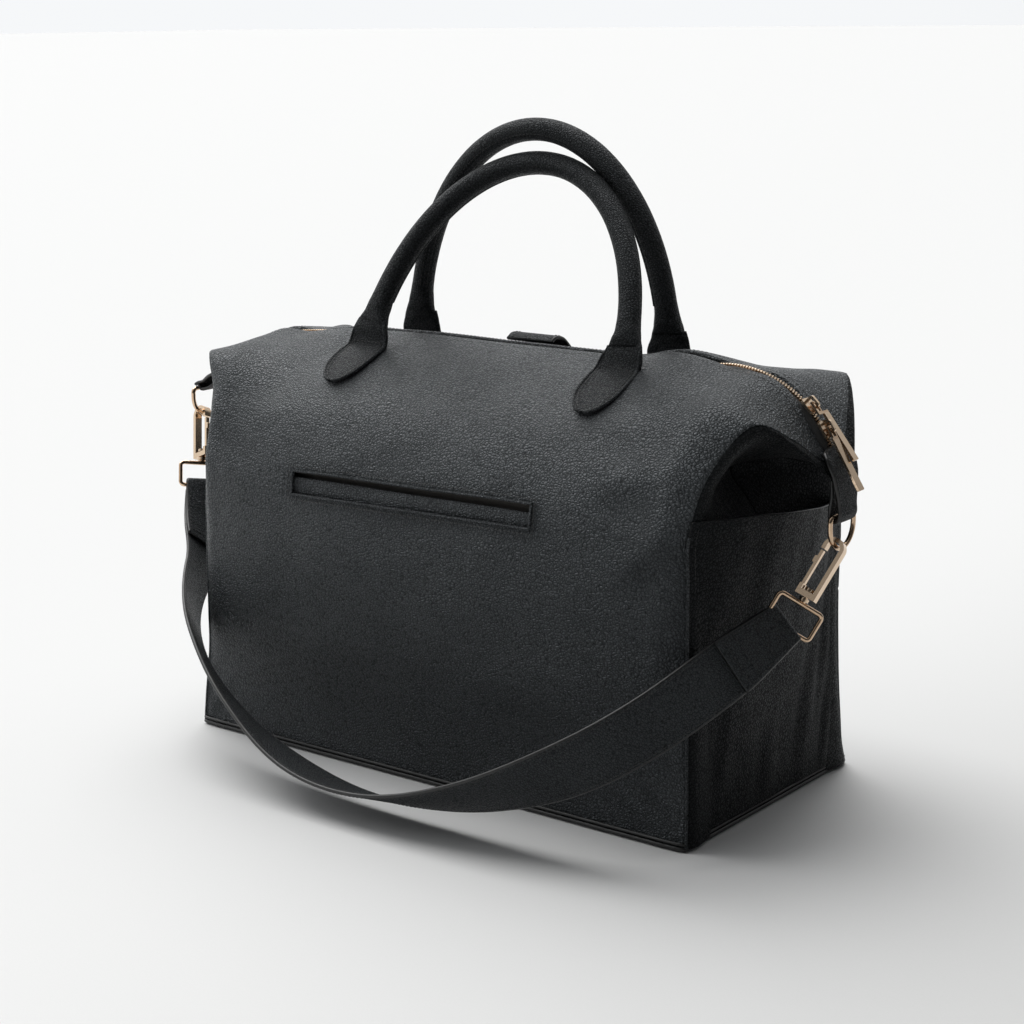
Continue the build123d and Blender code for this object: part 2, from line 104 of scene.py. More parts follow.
class Shader:
    """A node material under construction."""

    def __init__(self, name):
        self.material = bpy.data.materials.new(name)
        self.material.use_nodes = True
        self.tree = self.material.node_tree
        self.surface = self.tree.nodes["Principled BSDF"]
        self.place = self.add("TexCoord").outputs["Object"]

    def add(self, kind, values=None, **settings):
        """Adds a node; a value is a number, a colour or another node's output."""
        node = self.tree.nodes.new("ShaderNode" + kind)
        for key, setting in settings.items():
            setattr(node, key, setting)
        self.feed(node, values or {})
        return node

    def feed(self, node, values):
        """Sets or links inputs of a node."""
        for key, value in values.items():
            if isinstance(value, bpy.types.NodeSocket):
                self.tree.links.new(value, node.inputs[key])
            else:
                node.inputs[key].default_value = value

    def noise(self, scale, detail=3.0, where=None):
        """Fractal noise, from 0 to 1."""
        node = self.add("TexNoise", {"Vector": where or self.place, "Scale": scale, "Detail": detail})
        return node.outputs["Fac"]

    def stretch(self, scale):
        """Coordinates scaled by a different amount along each axis."""
        return self.add("Mapping", {"Vector": self.place, "Scale": scale}).outputs["Vector"]

    def remap(self, value, low, high, start, end):
        """Value carried from one range to another, with soft ends."""
        node = self.add(
            "MapRange",
            {"Value": value, "From Min": low, "From Max": high, "To Min": start, "To Max": end},
            interpolation_type="SMOOTHSTEP",
        )
        return node.outputs["Result"]

    def math(self, operation, first, second):
        """One arithmetic step."""
        return self.add("Math", {0: first, 1: second}, operation=operation).outputs[0]

    def mix(self, share, first, second):
        """Colour mixed between two colours."""
        node = self.add("Mix", data_type="RGBA")
        self.feed(node, {0: share, 6: first, 7: second})
        return node.outputs[2]

    def worn(self, low=0.5, high=0.56):
        """How far a point is on an outer edge, from 0 to 1."""
        return self.remap(self.add("NewGeometry").outputs["Pointiness"], low, high, 0.0, 1.0)

    def bump(self, height, distance, strength=1.0, normal=None):
        """Relief of a given depth in metres."""
        values = {"Height": height, "Distance": distance, "Strength": strength}
        if normal is not None:
            values["Normal"] = normal
        return self.add("Bump", values).outputs["Normal"]

    def done(self, **values):
        """Sets the surface's inputs and hands over the material."""
        names = {
            "color": "Base Color", "rough": "Roughness", "metal": "Metallic", "normal": "Normal",
            "specular": "Specular IOR Level", "sheen": "Sheen Weight", "sheen_rough": "Sheen Roughness",
            "tint": "Specular Tint",
        }
        self.feed(self.surface, {names[key]: value for key, value in values.items()})
        return self.material


def grey(level, blue=1.0):
    """Dark neutral colour with a slight blue or warm cast."""
    return (level / blue, level, level * blue, 1.0)


def leather(name, grain=440.0, level=0.0062, depth=0.0014, rough=0.3, shine=0.85):
    """Pebbled black leather, with painted shade darkening the valleys of its grain."""
    s = Shader(name)
    wobble = s.add("TexNoise", {"Vector": s.place, "Scale": 330.0, "Detail": 2.0})
    offset = s.add("VectorMath", {0: wobble.outputs["Color"], "Scale": 0.0013}, operation="SCALE")
    moved = s.add("VectorMath", {0: s.place, 1: offset.outputs[0]}, operation="ADD").outputs[0]
    edges = {"feature": "DISTANCE_TO_EDGE"}
    cells = s.add("TexVoronoi", {"Vector": moved, "Scale": grain}, **edges).outputs["Distance"]
    small = s.add("TexVoronoi", {"Vector": moved, "Scale": grain * 2.3}, **edges).outputs["Distance"]
    pebbles = s.remap(cells, 0.0, 0.3, 0.0, 1.0)
    fine = s.math("MULTIPLY", s.remap(small, 0.0, 0.25, 0.0, 1.0), 0.3)
    pores = s.math("MULTIPLY", s.noise(2600.0, 2.0), 0.15)
    height = s.math("ADD", s.math("ADD", pebbles, fine), pores)
    patches = s.noise(34.0, 3.0)
    depth_share = s.remap(patches, 0.3, 0.75, 0.6, 1.0)
    grain_normal = s.bump(s.math("MULTIPLY", height, depth_share), depth, 1.0)
    drawn = s.noise(1.0, 4.0, s.stretch((60.0, 60.0, 150.0)))
    normal = s.bump(drawn, 0.0012, 0.4, grain_normal)
    tone = s.mix(s.remap(patches, 0.35, 0.7, 0.0, 1.0), grey(level, 1.04), grey(level * 1.6, 1.05))
    # Painted shade: the valleys between the pebbles are darkened in the colour; the same mask lowers their
    # specular level.
    valley = s.remap(cells, 0.0, 0.13, 0.75, 0.0)
    tone = s.mix(s.math("MULTIPLY", valley, 0.75), tone, grey(level * 0.25))
    tone = s.mix(s.math("MULTIPLY", s.worn(), 0.5), tone, grey(level * 3.0, 1.04))
    drift = s.math("MULTIPLY", s.math("SUBTRACT", patches, 0.5), 0.16)
    gloss = s.math("ADD", s.remap(pebbles, 0.0, 1.0, rough + 0.2, rough), drift)
    gleam = s.remap(valley, 0.0, 1.0, shine, shine * 0.3)
    return s.done(color=tone, rough=gloss, normal=normal, specular=gleam, tint=(0.86, 0.94, 1.0, 1.0))


def painted_edge():
    """Cut edge of leather, sealed with dark paint, rubbed a little on its crown."""
    s = Shader("painted_edge")
    rubbed = s.remap(s.noise(420.0, 4.0), 0.4, 0.72, 0.0, 1.0)
    tone = s.mix(rubbed, grey(0.008), grey(0.022))
    normal = s.bump(s.noise(900.0, 3.0), 0.00012)
    return s.done(color=tone, rough=s.remap(rubbed, 0.0, 1.0, 0.3, 0.5), normal=normal)


def thread():
    """Waxed black thread, twisted."""
    s = Shader("thread")
    twist = s.add(
        "TexWave", {"Vector": s.place, "Scale": 900.0, "Distortion": 1.0}, bands_direction="DIAGONAL"
    ).outputs["Fac"]
    tone = s.mix(twist, grey(0.003), grey(0.01))
    return s.done(color=tone, rough=0.5, normal=s.bump(twist, 0.00008), sheen=0.2)


def gold():
    """Pale gold plating with fine wiping marks."""
    s = Shader("gold")
    marks = s.noise(1.0, 4.0, s.stretch((260.0, 1900.0, 700.0)))
    cloudy = s.noise(120.0, 3.0)
    tone = s.mix(cloudy, (0.6, 0.42, 0.28, 1.0), (0.72, 0.53, 0.37, 1.0))
    tone = s.mix(s.math("MULTIPLY", s.worn(), 0.4), tone, (0.88, 0.72, 0.54, 1.0))
    shine = s.remap(marks, 0.3, 0.7, 0.12, 0.26)
    return s.done(color=tone, rough=shine, metal=1.0, normal=s.bump(marks, 0.00002, 0.5))


def woven(name, level, scale, sheen=0.3, tint=(1.0, 1.0, 1.0)):
    """Plain weave: warp and weft threads over and under each other."""
    s = Shader(name)
    warp = s.add("TexWave", {"Vector": s.place, "Scale": scale, "Distortion": 0.4}, bands_direction="X")
    weft = s.add("TexWave", {"Vector": s.place, "Scale": scale, "Distortion": 0.4}, bands_direction="Z")
    side = s.add("TexWave", {"Vector": s.place, "Scale": scale, "Distortion": 0.4}, bands_direction="Y")
    cloth = s.math("MAXIMUM", s.math("MULTIPLY", warp.outputs["Fac"], side.outputs["Fac"]), s.math(
        "MULTIPLY", weft.outputs["Fac"], 0.9))
    dark = tuple(level * 0.6 * part for part in tint) + (1.0,)
    pale = tuple(level * 1.5 * part for part in tint) + (1.0,)
    faded = s.remap(s.noise(24.0, 3.0), 0.3, 0.7, 0.0, 0.35)
    tone = s.mix(s.math("ADD", s.math("MULTIPLY", cloth, 0.65), faded), dark, pale)
    return s.done(color=tone, rough=0.78, normal=s.bump(cloth, 0.00015), sheen=sheen, sheen_rough=0.4)


def board():
    """Pressed grey fibreboard."""
    s = Shader("board")
    fibres = s.noise(1.0, 6.0, s.stretch((300.0, 900.0, 900.0)))
    specks = s.remap(s.noise(1500.0, 2.0), 0.62, 0.7, 0.0, 1.0)
    tone = s.mix(fibres, (0.16, 0.14, 0.12, 1.0), (0.3, 0.27, 0.24, 1.0))
    tone = s.mix(specks, tone, (0.07, 0.06, 0.055, 1.0))
    return s.done(color=tone, rough=0.85, normal=s.bump(fibres, 0.0002))


def rope():
    """Cotton rope filler."""
    s = Shader("rope")
    strands = s.add(
        "TexWave", {"Vector": s.place, "Scale": 190.0, "Distortion": 2.0}, bands_direction="DIAGONAL"
    ).outputs["Fac"]
    tone = s.mix(strands, (0.4, 0.36, 0.3, 1.0), (0.72, 0.68, 0.6, 1.0))
    return s.done(color=tone, rough=0.9, normal=s.bump(strands, 0.0006), sheen=0.4)


def paper_white():
    """Seamless studio paper, with painted shade: darker toward +X, to the right of the bag."""
    s = Shader("paper_white")
    tooth = s.noise(700.0, 3.0)
    across = s.add("SeparateXYZ", {"Vector": s.place}).outputs["X"]
    pale = s.mix(tooth, (0.73, 0.732, 0.73, 1.0), (0.76, 0.76, 0.755, 1.0))
    # Painted shade: the paper's colour is darker toward +X, as if less light fell on that side.
    shaded = s.mix(tooth, (0.42, 0.42, 0.415, 1.0), (0.45, 0.45, 0.445, 1.0))
    tone = s.mix(s.remap(across, -0.1, 1.1, 0.0, 1.0), pale, shaded)
    return s.done(color=tone, rough=0.9, normal=s.bump(tooth, 0.00005))


LEATHER = leather("pebbled_leather")
# Shaded copy of the pebbled leather: its lower colour level is painted shade for the ends and the gusset
# hollows that face away from the light.
SHADED_END_LEATHER = leather("end_leather_painted_shade", level=0.004, depth=0.0009, rough=0.46, shine=0.24)
SMOOTH_LEATHER = leather("handle_leather", grain=540.0, level=0.0042, depth=0.0009, rough=0.42, shine=0.34)
STRAP_LEATHER = leather("strap_leather", grain=540.0, level=0.0075, depth=0.0009, rough=0.42, shine=0.7)
EDGE = painted_edge()
THREAD = thread()
GOLD = gold()
TAPE = woven("zip_tape", 0.012, 700.0)
LINING = woven("lining_twill", 0.06, 420.0, 0.5, (1.0, 0.9, 0.78))
BOARD = board()
ROPE = rope()


# --- Shapes ---------------------------------------------------------------------------------------


def smooth(points, knots, at):
    """Points of a smooth curve that passes through given ones, at any parameters."""
    points = np.asarray(points, float)
    knots = np.asarray(knots, float)
    at = np.clip(np.asarray(at, float), knots[0], knots[-1])
    slopes = np.gradient(points, knots, axis=0)
    left = np.clip(np.searchsorted(knots, at, side="right") - 1, 0, len(knots) - 2)
    span = (knots[left + 1] - knots[left])[:, None]
    t = (at - knots[left])[:, None] / span
    near = (1 + 2 * t) * (1 - t) ** 2 * points[left] + t * (1 - t) ** 2 * span * slopes[left]
    far = t * t * (3 - 2 * t) * points[left + 1] + t * t * (t - 1) * span * slopes[left + 1]
    return near + far


def table_at(table, at):
    """Smoothly interpolated column of a table of (position, value)."""
    rows = np.array(table, float)
    return smooth(rows[:, 1:], rows[:, 0], at)[:, 0]


def lengths(points):
    """Distance along a run of points."""
    steps = np.linalg.norm(np.diff(points, axis=0), axis=1)
    return np.concatenate([[0.0], np.cumsum(steps)])


def spaced(points, pitch=None, count=None):
    """Run of points taken again at even spacing along a smooth curve through the given ones."""
    points = np.asarray(points, float)
    along = lengths(points)
    fine = smooth(points, along, np.linspace(0, along[-1], 12 * len(points)))
    along = lengths(fine)
    if count is None:
        count = max(2, int(round(along[-1] / pitch)) + 1)
    at = np.linspace(0, along[-1], count)
    return np.stack([np.interp(at, along, fine[:, axis]) for axis in range(fine.shape[1])], axis=1)


def unit(vectors):
    """Vectors of length one."""
    return vectors / np.maximum(np.linalg.norm(vectors, axis=-1, keepdims=True), 1e-9)


def bell(distance, width):
    """Smooth bump, 1 at the middle."""
    return np.exp(-((distance / width) ** 2))


def wave(points, size, seed=0.0, scale=(1.0, 1.0, 1.0)):
    """Smooth noise from -1 to 1 at each point, with features about the given size across."""
    shifted = np.asarray(points, float) * np.array(scale) / size + seed
    return np.array([noise.noise(Vector(p)) for p in shifted.reshape(-1, 3)]).reshape(shifted.shape[:-1])


def carry(piece, body):
    """Lets a piece ride on a named body; anything else, such as (first, second, start, end) in millimetres,
    does not bend it, and the piece only has its transform baked.
    """
    if isinstance(body, str):
        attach(piece, body)
    else:
        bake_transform(piece)


def mesh_piece(name, points, faces, materials, body, slots=None, thickness=0.0, sharp=False):
    """New piece from points in millimetres, carried by a named body; given two bodies, it is only baked in
    place.
    """
    mesh = bpy.data.meshes.new(name)
    mesh.from_pydata((np.asarray(points, float) * MM).tolist(), [], [list(map(int, f)) for f in faces])
    for material in materials:
        mesh.materials.append(material)
    if slots is not None:
        mesh.polygons.foreach_set("material_index", np.asarray(slots, np.int32))
    mesh.polygons.foreach_set("use_smooth", np.full(len(mesh.polygons), not sharp))
    mesh.update()
    piece = bpy.data.objects.new(name, mesh)
    bpy.context.scene.collection.objects.link(piece)
    if thickness:
        shell = piece.modifiers.new("thickness", "SOLIDIFY")
        shell.thickness = thickness * MM
        shell.offset = -1.0
        shell.use_even_offset = False
        if len(materials) > 1:
            shell.material_offset_rim = 1
    carry(piece, body)
    return piece


def grid_faces(rows, columns, around=False, flip=False, keep=None):
    """Quads between the points of a grid that is stored row by row."""
    faces = []
    for r in range(rows - 1):
        for c in range(columns if around else columns - 1):
            if keep is not None and not keep(r, c):
                continue
            d = (c + 1) % columns
            quad = (r * columns + c, r * columns + d, (r + 1) * columns + d, (r + 1) * columns + c)
            faces.append(quad[::-1] if flip else quad)
    return faces


def frames(centres, across):
    """Tangents, widths and normals along a line; the width keeps near the given direction."""
    centres = np.asarray(centres, float)
    along = unit(np.gradient(centres, axis=0))
    across = np.broadcast_to(np.asarray(across, float), centres.shape)
    wide = unit(across - along * np.sum(across * along, axis=1, keepdims=True))
    return along, wide, np.cross(along, wide)


def swept(centres, wide, normal, outline):
    """Rings of points: an outline (n, 2), or one outline for each station, carried along a line."""
    outline = np.asarray(outline, float)
    if outline.ndim == 2:
        outline = np.broadcast_to(outline, (len(centres),) + outline.shape)
    return (
        centres[:, None, :] + wide[:, None, :] * outline[..., :1] + normal[:, None, :] * outline[..., 1:]
    )


def capped(rings, closed=False):
    """Points and faces of a tube through rings, with flat fans at its ends unless it is closed."""
    count, sides = rings.shape[:2]
    points = rings.reshape(-1, 3)
    faces = grid_faces(count, sides, around=True)
    if closed:
        last = (count - 1) * sides
        for c in range(sides):
            d = (c + 1) % sides
            faces.append((last + c, last + d, d, c))
        return points, faces
    middle = np.stack([rings[0].mean(axis=0), rings[-1].mean(axis=0)])
    first, second = len(points), len(points) + 1
    last = (count - 1) * sides
    for c in range(sides):
        d = (c + 1) % sides
        faces.append((first, d, c))
        faces.append((second, last + c, last + d))
    return np.concatenate([points, middle]), faces


def circle(radius, sides=12):
    """Round outline."""
    turn = np.linspace(0, 2 * math.pi, sides, endpoint=False)
    return np.stack([np.cos(turn), np.sin(turn)], axis=1) * radius


def tube(name, centres, radius, material, body, sides=10, across=(0, 0, 1), closed=False):
    """Round cord or wire along a line."""
    _, wide, normal = frames(centres, across)
    points, faces = capped(swept(np.asarray(centres, float), wide, normal, circle(radius, sides)), closed)
    return mesh_piece(name, points, faces, [material], body)


def ribbon_outline(half, thick, flat_steps=8, crown=0.0):
    """Outline of a flat strap: two faces and two rounded edges. Edge sides are the last ones listed."""
    x = np.linspace(-1, 1, flat_steps + 1)
    radius = thick / 2
    inner = np.maximum(half - radius, 0.02)
    raised = crown * (1 - x ** 2)
    top = np.stack([x * inner, radius + raised], axis=1)
    turn = np.linspace(math.pi / 2, -math.pi / 2, 6)[1:-1]
    right = np.stack([inner + np.cos(turn) * radius, np.sin(turn) * radius], axis=1)
    under = np.stack([-x * inner, np.full(len(x), -radius)], axis=1)
    return np.concatenate([top, right, under, -right])


def ribbon(name, centres, across, half, thick, body, materials, crown=0.0, flat_steps=8):
    """Strap of leather along a line, with painted edges; half width may change along it."""
    centres = np.asarray(centres, float)
    half = np.broadcast_to(np.asarray(half, float), len(centres))
    thick = np.broadcast_to(np.asarray(thick, float), len(centres))
    _, wide, normal = frames(centres, across)
    outlines = np.stack([ribbon_outline(h, t, flat_steps, crown) for h, t in zip(half, thick)])
    rings = swept(centres, wide, normal, outlines)
    points, faces = capped(rings)
    sides = outlines.shape[1]
    face_slots = []
    for index in range((len(centres) - 1) * sides):
        side = index % sides
        edge = flat_steps <= side <= flat_steps + 4 or side >= 2 * flat_steps + 5
        face_slots.append(1 if edge else 0)
    face_slots += [1] * (len(faces) - len(face_slots))
    return mesh_piece(name, points, faces, materials, body, face_slots)


def stitch_shape(stitch, width):
    """One stitch: a short thread, thick in the middle, that dives into the leather at both ends."""
    stations = [(-0.5, 0.35), (-0.3, 0.9), (0.0, 1.0), (0.3, 0.9), (0.5, 0.35)]
    rings = []
    for place, share in stations:
        ring = circle(share * width / 2, 6)
        lift = 0.175 * (1 - (2 * place) ** 2) * width
        rings.append(np.column_stack([np.full(6, place * stitch), ring[:, 0], ring[:, 1] + lift]))
    faces = grid_faces(len(rings), 6, around=True)
    last = 6 * (len(rings) - 1)
    faces.append(tuple(range(5, -1, -1)))
    faces.append(tuple(last + c for c in range(6)))
    return np.concatenate(rings), faces


def stitches(name, rows, body, pitch=3.7, stitch=2.9, width=0.62, sink=0.1):
    """Rows of thread stitches. A row is (points, outward normals)."""
    shape, shape_faces = stitch_shape(stitch, width)
    points, faces = [], []
    for line, normals in rows:
        line = np.asarray(line, float)
        along = lengths(line)
        count = max(1, int(along[-1] / pitch))
        at = (np.arange(count) + 0.5) * along[-1] / count
        centres = np.stack([np.interp(at, along, line[:, k]) for k in range(3)], axis=1)
        ahead = np.stack([np.interp(at + 0.5, along, line[:, k]) for k in range(3)], axis=1)
        behind = np.stack([np.interp(at - 0.5, along, line[:, k]) for k in range(3)], axis=1)
        normals = np.broadcast_to(np.asarray(normals, float), line.shape)
        out = unit(np.stack([np.interp(at, along, normals[:, k]) for k in range(3)], axis=1))
        forward = unit(ahead - behind)
        side = np.cross(out, forward)
        for centre, f, w, n in zip(centres - out * sink, forward, side, out):
            start = len(points) * len(shape)
            points.append(centre + shape[:, :1] * f + shape[:, 1:2] * w + shape[:, 2:] * n)
            faces += [[start + i for i in face] for face in shape_faces]
    return mesh_piece(name, np.concatenate(points), faces, [THREAD], body)


# --- Body surface ---------------------------------------------------------------------------------

# Front half of the body as columns of points (x, depth, height), from the bottom edge to the zip lip.
MIDDLE = [
    (0, 106, 2.5), (0, 103, 18), (0, 102, 38), (0, 106, 62), (0, 113, 95), (0, 118, 132), (0, 119, 178),
    (0, 112.5, 224), (0, 93, 259), (0, 62, 282.5), (0, 31, 296), (0, 7, 302.6), (0, 5, 302.8),
    (0, 4.2, 301.2), (0, 4.8, 297.5),
]
NEAR_ARC = [
    (187, 106, 2.5), (187, 104, 18), (187, 104.5, 38), (187, 107.5, 62), (187, 111.5, 95),
    (187, 114, 132), (187, 114.5, 178), (187, 111, 219), (187, 95, 255), (187, 68, 283.5),
    (187, 34, 298), (187, 7, 303), (187, 5, 303), (187, 4.2, 301.6), (187, 4.8, 298.5),
]
NEAR_END = [
    (208, 105.8, 2.5), (208, 104.8, 18), (208, 105.2, 38), (208, 107, 62), (208, 109.5, 95),
    (208, 111, 132), (208, 111.3, 178), (208, 109, 217), (211, 94, 255), (217, 65, 285),
    (228, 35, 288), (235, 7, 289.5), (235.2, 5, 289.7), (234.8, 4.2, 288), (233, 4.8, 284.5),
]
END = [
    (220.6, 104.6, 2.5), (220.6, 103.8, 18), (220.6, 103.8, 38), (220.6, 104.2, 62),
    (221, 104.8, 95), (221, 105, 132), (220.8, 104.6, 178), (220.4, 102, 214), (226, 86, 250),
    (239.5, 57, 277), (255, 32, 264.5), (266, 7, 248.5), (266.3, 5, 248.6), (266, 4.2, 247.5),
    (264.5, 4.8, 245),
]
# The end wall just round the corner from END, and its folded middle line.
WALL = [
    (220.8, 66, 2.5), (220.8, 66, 18), (220.8, 66, 38), (220.6, 66, 62), (220.4, 65, 95), (220.2, 64, 132),
    (218.5, 62, 178), (213, 58, 210), (204, 47, 234), (216, 30, 250), (244, 16, 252), (262, 3.5, 246),
]
FOLD = [
    (218.6, 0, 2.5), (218.6, 0, 18), (218.6, 0, 38), (218.6, 0, 62), (218.6, 0, 95), (218.4, 0, 132),
    (216, 0, 176), (206, 0, 206), (187, 0, 230), (192, 0, 238), (228, 0, 245), (259, 0, 243),
]
# How the back and the left end differ from the front right, row by row.
BACK_DEPTH = [0, -4.5, -7.5, -11, -15, -17, -15, -11, 0, 18, 10, 0, 0, 0, 0]
BACK_RISE = [0, 0, 0, 0, 0, 0, 0, 4, 12, 14, 10, 0, 0, 0, 0]
LEFT_DRAW = [0, 1, 4, 8, 10, 11, 12, 14, 12, 6, 2, 0, 0, 0, 0]
BACK_DRAW = [0, 0, 0, 0, 0, 0, 0, 2, 6, 8, 4, 0, 0, 0, 0]
LEFT_DEPTH = [0, 0, 0, 0, 0, 0, 0, 0, 2, 14, 4, 0, 0, 0, 0]
LEFT_RISE = [0, 0, 0, 0, 0, 0, 0, 4, 12, 10, 10, 0, 0, 0, 0]
QUARTER_X = 105.0

MOUTH_ROW, LIP_ROW = 7, 11


def body_columns(side_x, side_y):
    """Columns of one quarter of the body, from the middle out to the folded end wall."""
    quarter = [(QUARTER_X, y, z) for _, y, z in MIDDLE]
    shares = (0.0, 0.0, 0.0, 0.45, 1.0)
    columns = []
    for points, share in zip((MIDDLE, quarter, NEAR_ARC, NEAR_END, END), shares):
        rows = np.array(points, float)
        if side_y > 0:
            rows[:, 0] -= share * np.array(BACK_DRAW)
            rows[:, 1] += share * np.array(BACK_DEPTH)
            rows[:, 2] += share * np.array(BACK_RISE)
        if side_x < 0:
            rows[:, 0] -= share * np.array(LEFT_DRAW)
        if side_x < 0 and side_y < 0:
            rows[:, 1] += share * np.array(LEFT_DEPTH)
            rows[:, 2] += share * np.array(LEFT_RISE)
        columns.append(rows)
    return columns


def sagged(rows):
    """Lets the top of the left end sink a little."""
    rows = np.array(rows, float)
    high = np.clip((rows[..., 2] - 225.0) / 60.0, 0, 1)
    rows[..., 2] -= 7.0 * high * bell(rows[..., 0] + 190.0, 40.0)
    return rows


def wall_column(points, side_x, side_y):
    """Column of the end wall, drawn in with the seam beside it."""
    rows = np.array(points, float)
    if side_y > 0:
        rows[:, 1] += 0.5 * np.array(BACK_DEPTH[:LIP_ROW + 1]) * np.sign(rows[:, 1])
    if side_x < 0:
        rows[:, 0] -= 0.8 * np.array(LEFT_DRAW[:LIP_ROW + 1])
    return rows


def body_net(side_y):
    """Net of points that the front or back half of the body passes through, rows by columns."""
    right = body_columns(1, side_y)
    left = [rows * np.array([-1.0, 1.0, 1.0]) for rows in body_columns(-1, side_y)]
    return sagged(np.stack(left[:0:-1] + right, axis=1))


def corner_columns(side_x, side_y):
    """Columns past the end seam, which carry the leather smoothly round the corner."""
    columns = []
    for points in (WALL, FOLD):
        rows = wall_column(points, side_x, side_y)
        extra = rows[-1] + np.array([[0.3, 0, 0.1], [0.0, 0, -1.0], [-1.5, 0, -3.5]])
        rows = np.concatenate([rows, extra])
        rows[:, 0] *= side_x
        columns.append(rows)
    return columns


def long_net(side_y):
    """The body's net with the columns of both end walls added."""
    left = sagged(np.stack(corner_columns(-1, side_y)[::-1], axis=1))
    right = np.stack(corner_columns(1, side_y), axis=1)
    return np.concatenate([left, body_net(side_y), right], axis=1)


NETS = {-1: long_net(-1), 1: long_net(1)}
U_END = 220.6
U_ROUND = [U_END + 39.0, U_END + 104.0]
U_KNOTS = np.array(
    [-u for u in U_ROUND[::-1]] + [-U_END, -208.0, -187.0, -QUARTER_X, 0.0, QUARTER_X, 187.0, 208.0, U_END]
    + U_ROUND
)
U_TOTAL = U_ROUND[-1]
V_KNOTS = lengths(np.array(MIDDLE, float))
V_LIP = V_KNOTS[LIP_ROW]


def net_point(u, v, side=-1):
    """Points of the smooth body surface, before its ripples; u runs along the bag and v up the wall."""
    u = np.asarray(u, float)
    v = np.asarray(v, float)
    by_row = smooth(np.eye(len(V_KNOTS)), V_KNOTS, v.ravel())
    by_column = smooth(np.eye(len(U_KNOTS)), U_KNOTS, u.ravel())
    return np.einsum("nr,rcd,nc->nd", by_row, NETS[side], by_column).reshape(u.shape + (3,))


def net_normal(u, v, side=-1):
    """Outward normals of the smooth body surface."""
    step = 1.0
    du = net_point(u + step, v, side) - net_point(u - step, v, side)
    dv = net_point(u, np.minimum(v + step, V_KNOTS[-1]), side) - net_point(u, np.maximum(v - step, 0), side)
    return unit(np.cross(dv, du))


def crease(points, start, end, width, depth):
    """Pulled fold in the leather: a valley with a low ridge beside it, between two (x, z) points."""
    start, end = np.array(start, float), np.array(end, float)
    run = end - start
    flat = points[..., [0, 2]] - start
    share = flat @ run / (run @ run)
    side = (flat[..., 0] * run[1] - flat[..., 1] * run[0]) / np.linalg.norm(run)
    fade = bell(share - 0.5, 0.42)
    return depth * fade * (0.6 * bell(side - 1.3 * width, width) - bell(side, width))


FRONT_CREASES = [
    ((-214, 8), (-190, 30), 5, 1.6), ((-219, 22), (-196, 52), 6, 1.5), ((-208, 10), (-178, 18), 4, 1.1),
    ((214, 12), (176, 40), 7, 1.3), ((216, 40), (186, 76), 8, 1.1), ((196, 10), (160, 22), 6, 0.9),
    ((218, 205), (178, 168), 9, 1.6), ((205, 236), (150, 222), 10, 1.8), ((196, 262), (120, 258), 9, 1.2),
    ((-205, 236), (-150, 218), 11, 1.8), ((-190, 266), (-128, 262), 9, 1.1), ((-60, 60), (40, 48), 12, 0.9),
]
BACK_CREASES = [
    ((205, 232), (140, 216), 11, 1.6), ((-200, 236), (-130, 226), 10, 1.5), ((-214, 14), (-180, 44), 6, 1.3),
    ((210, 18), (184, 52), 7, 1.2), ((-40, 44), (60, 58), 12, 1.0), ((190, 262), (110, 256), 9, 1.1),
]


def ripple(points, u, v, creases, seed):
    """Height of the leather's slack above the smooth body, fading out toward its sewn edges."""
    slack = 1.6 * wave(points, 92.0, seed, (1, 0.3, 1)) + 0.8 * wave(points, 38.0, seed + 5, (1, 0.3, 1.3))
    slack = slack + 0.25 * wave(points, 13.0, seed + 9, (1, 0.4, 1.2))
    for start, end, width, depth in creases:
        slack = slack + crease(points, start, end, width, depth)
    sewn = 1 - np.clip((v - V_KNOTS[MOUTH_ROW]) / 22.0, 0, 1)
    ends = 1 - bell(U_END - np.abs(u), 9.0) * sewn
    lips = 1 - bell(np.minimum(V_LIP - v, 60), 14.0)
    lips = np.where(v > V_LIP, 0.0, lips)
    foot = 1 - 0.8 * bell(v, 6.0)
    return slack * ends * lips * foot


def body_point(u, v, side=-1):
    """Points on the outside of the front (side -1) or back (side 1) panel."""
    u = np.asarray(u, float)
    v = np.asarray(v, float)
    base = net_point(u, v, side)
    normal = net_normal(u, v, side)
    creases, seed = (FRONT_CREASES, 3.7) if side < 0 else (BACK_CREASES, 41.3)
    height = ripple(base, u, v, creases, seed)
    placed = base + normal * height[..., None]
    placed[..., 1] *= side
    return placed


def body_normal(u, v, side=-1):
    """Outward normals of a panel."""
    normal = net_normal(np.asarray(u, float), np.asarray(v, float), side)
    return normal * np.array([1.0, side, 1.0])


def row_at(height):
    """Position up the wall, at mid length, of a height below the lip."""
    fine = np.linspace(0, V_LIP, 600)
    return float(np.interp(height, net_point(np.zeros(600), fine)[:, 2], fine))


WINDOW_U = (-109.5, 104.5)
WINDOW_V = (row_at(200.4), row_at(217.4))
WINDOW_MIDDLE = (sum(WINDOW_U) / 2, sum(WINDOW_V) / 2)


def tilted(u, v):
    """Position up the wall once the welt pocket is set a little higher at its right end."""
    return v + 2.0 * np.clip(u / 107.0, -1.2, 1.2) * bell(v - WINDOW_MIDDLE[1], 50.0)


def window_point(u, v, depth):
    """Points of the welt pocket, sunk below the face of the front panel."""
    v = tilted(u, v)
    return body_point(u, v) - body_normal(u, v) * np.asarray(depth)[..., None]


def with_lines(values, lines):
    """Grid lines moved so that some of them fall exactly on given places."""
    values = np.array(values)
    for line in lines:
        values[np.argmin(np.abs(values - line))] = line
    return values


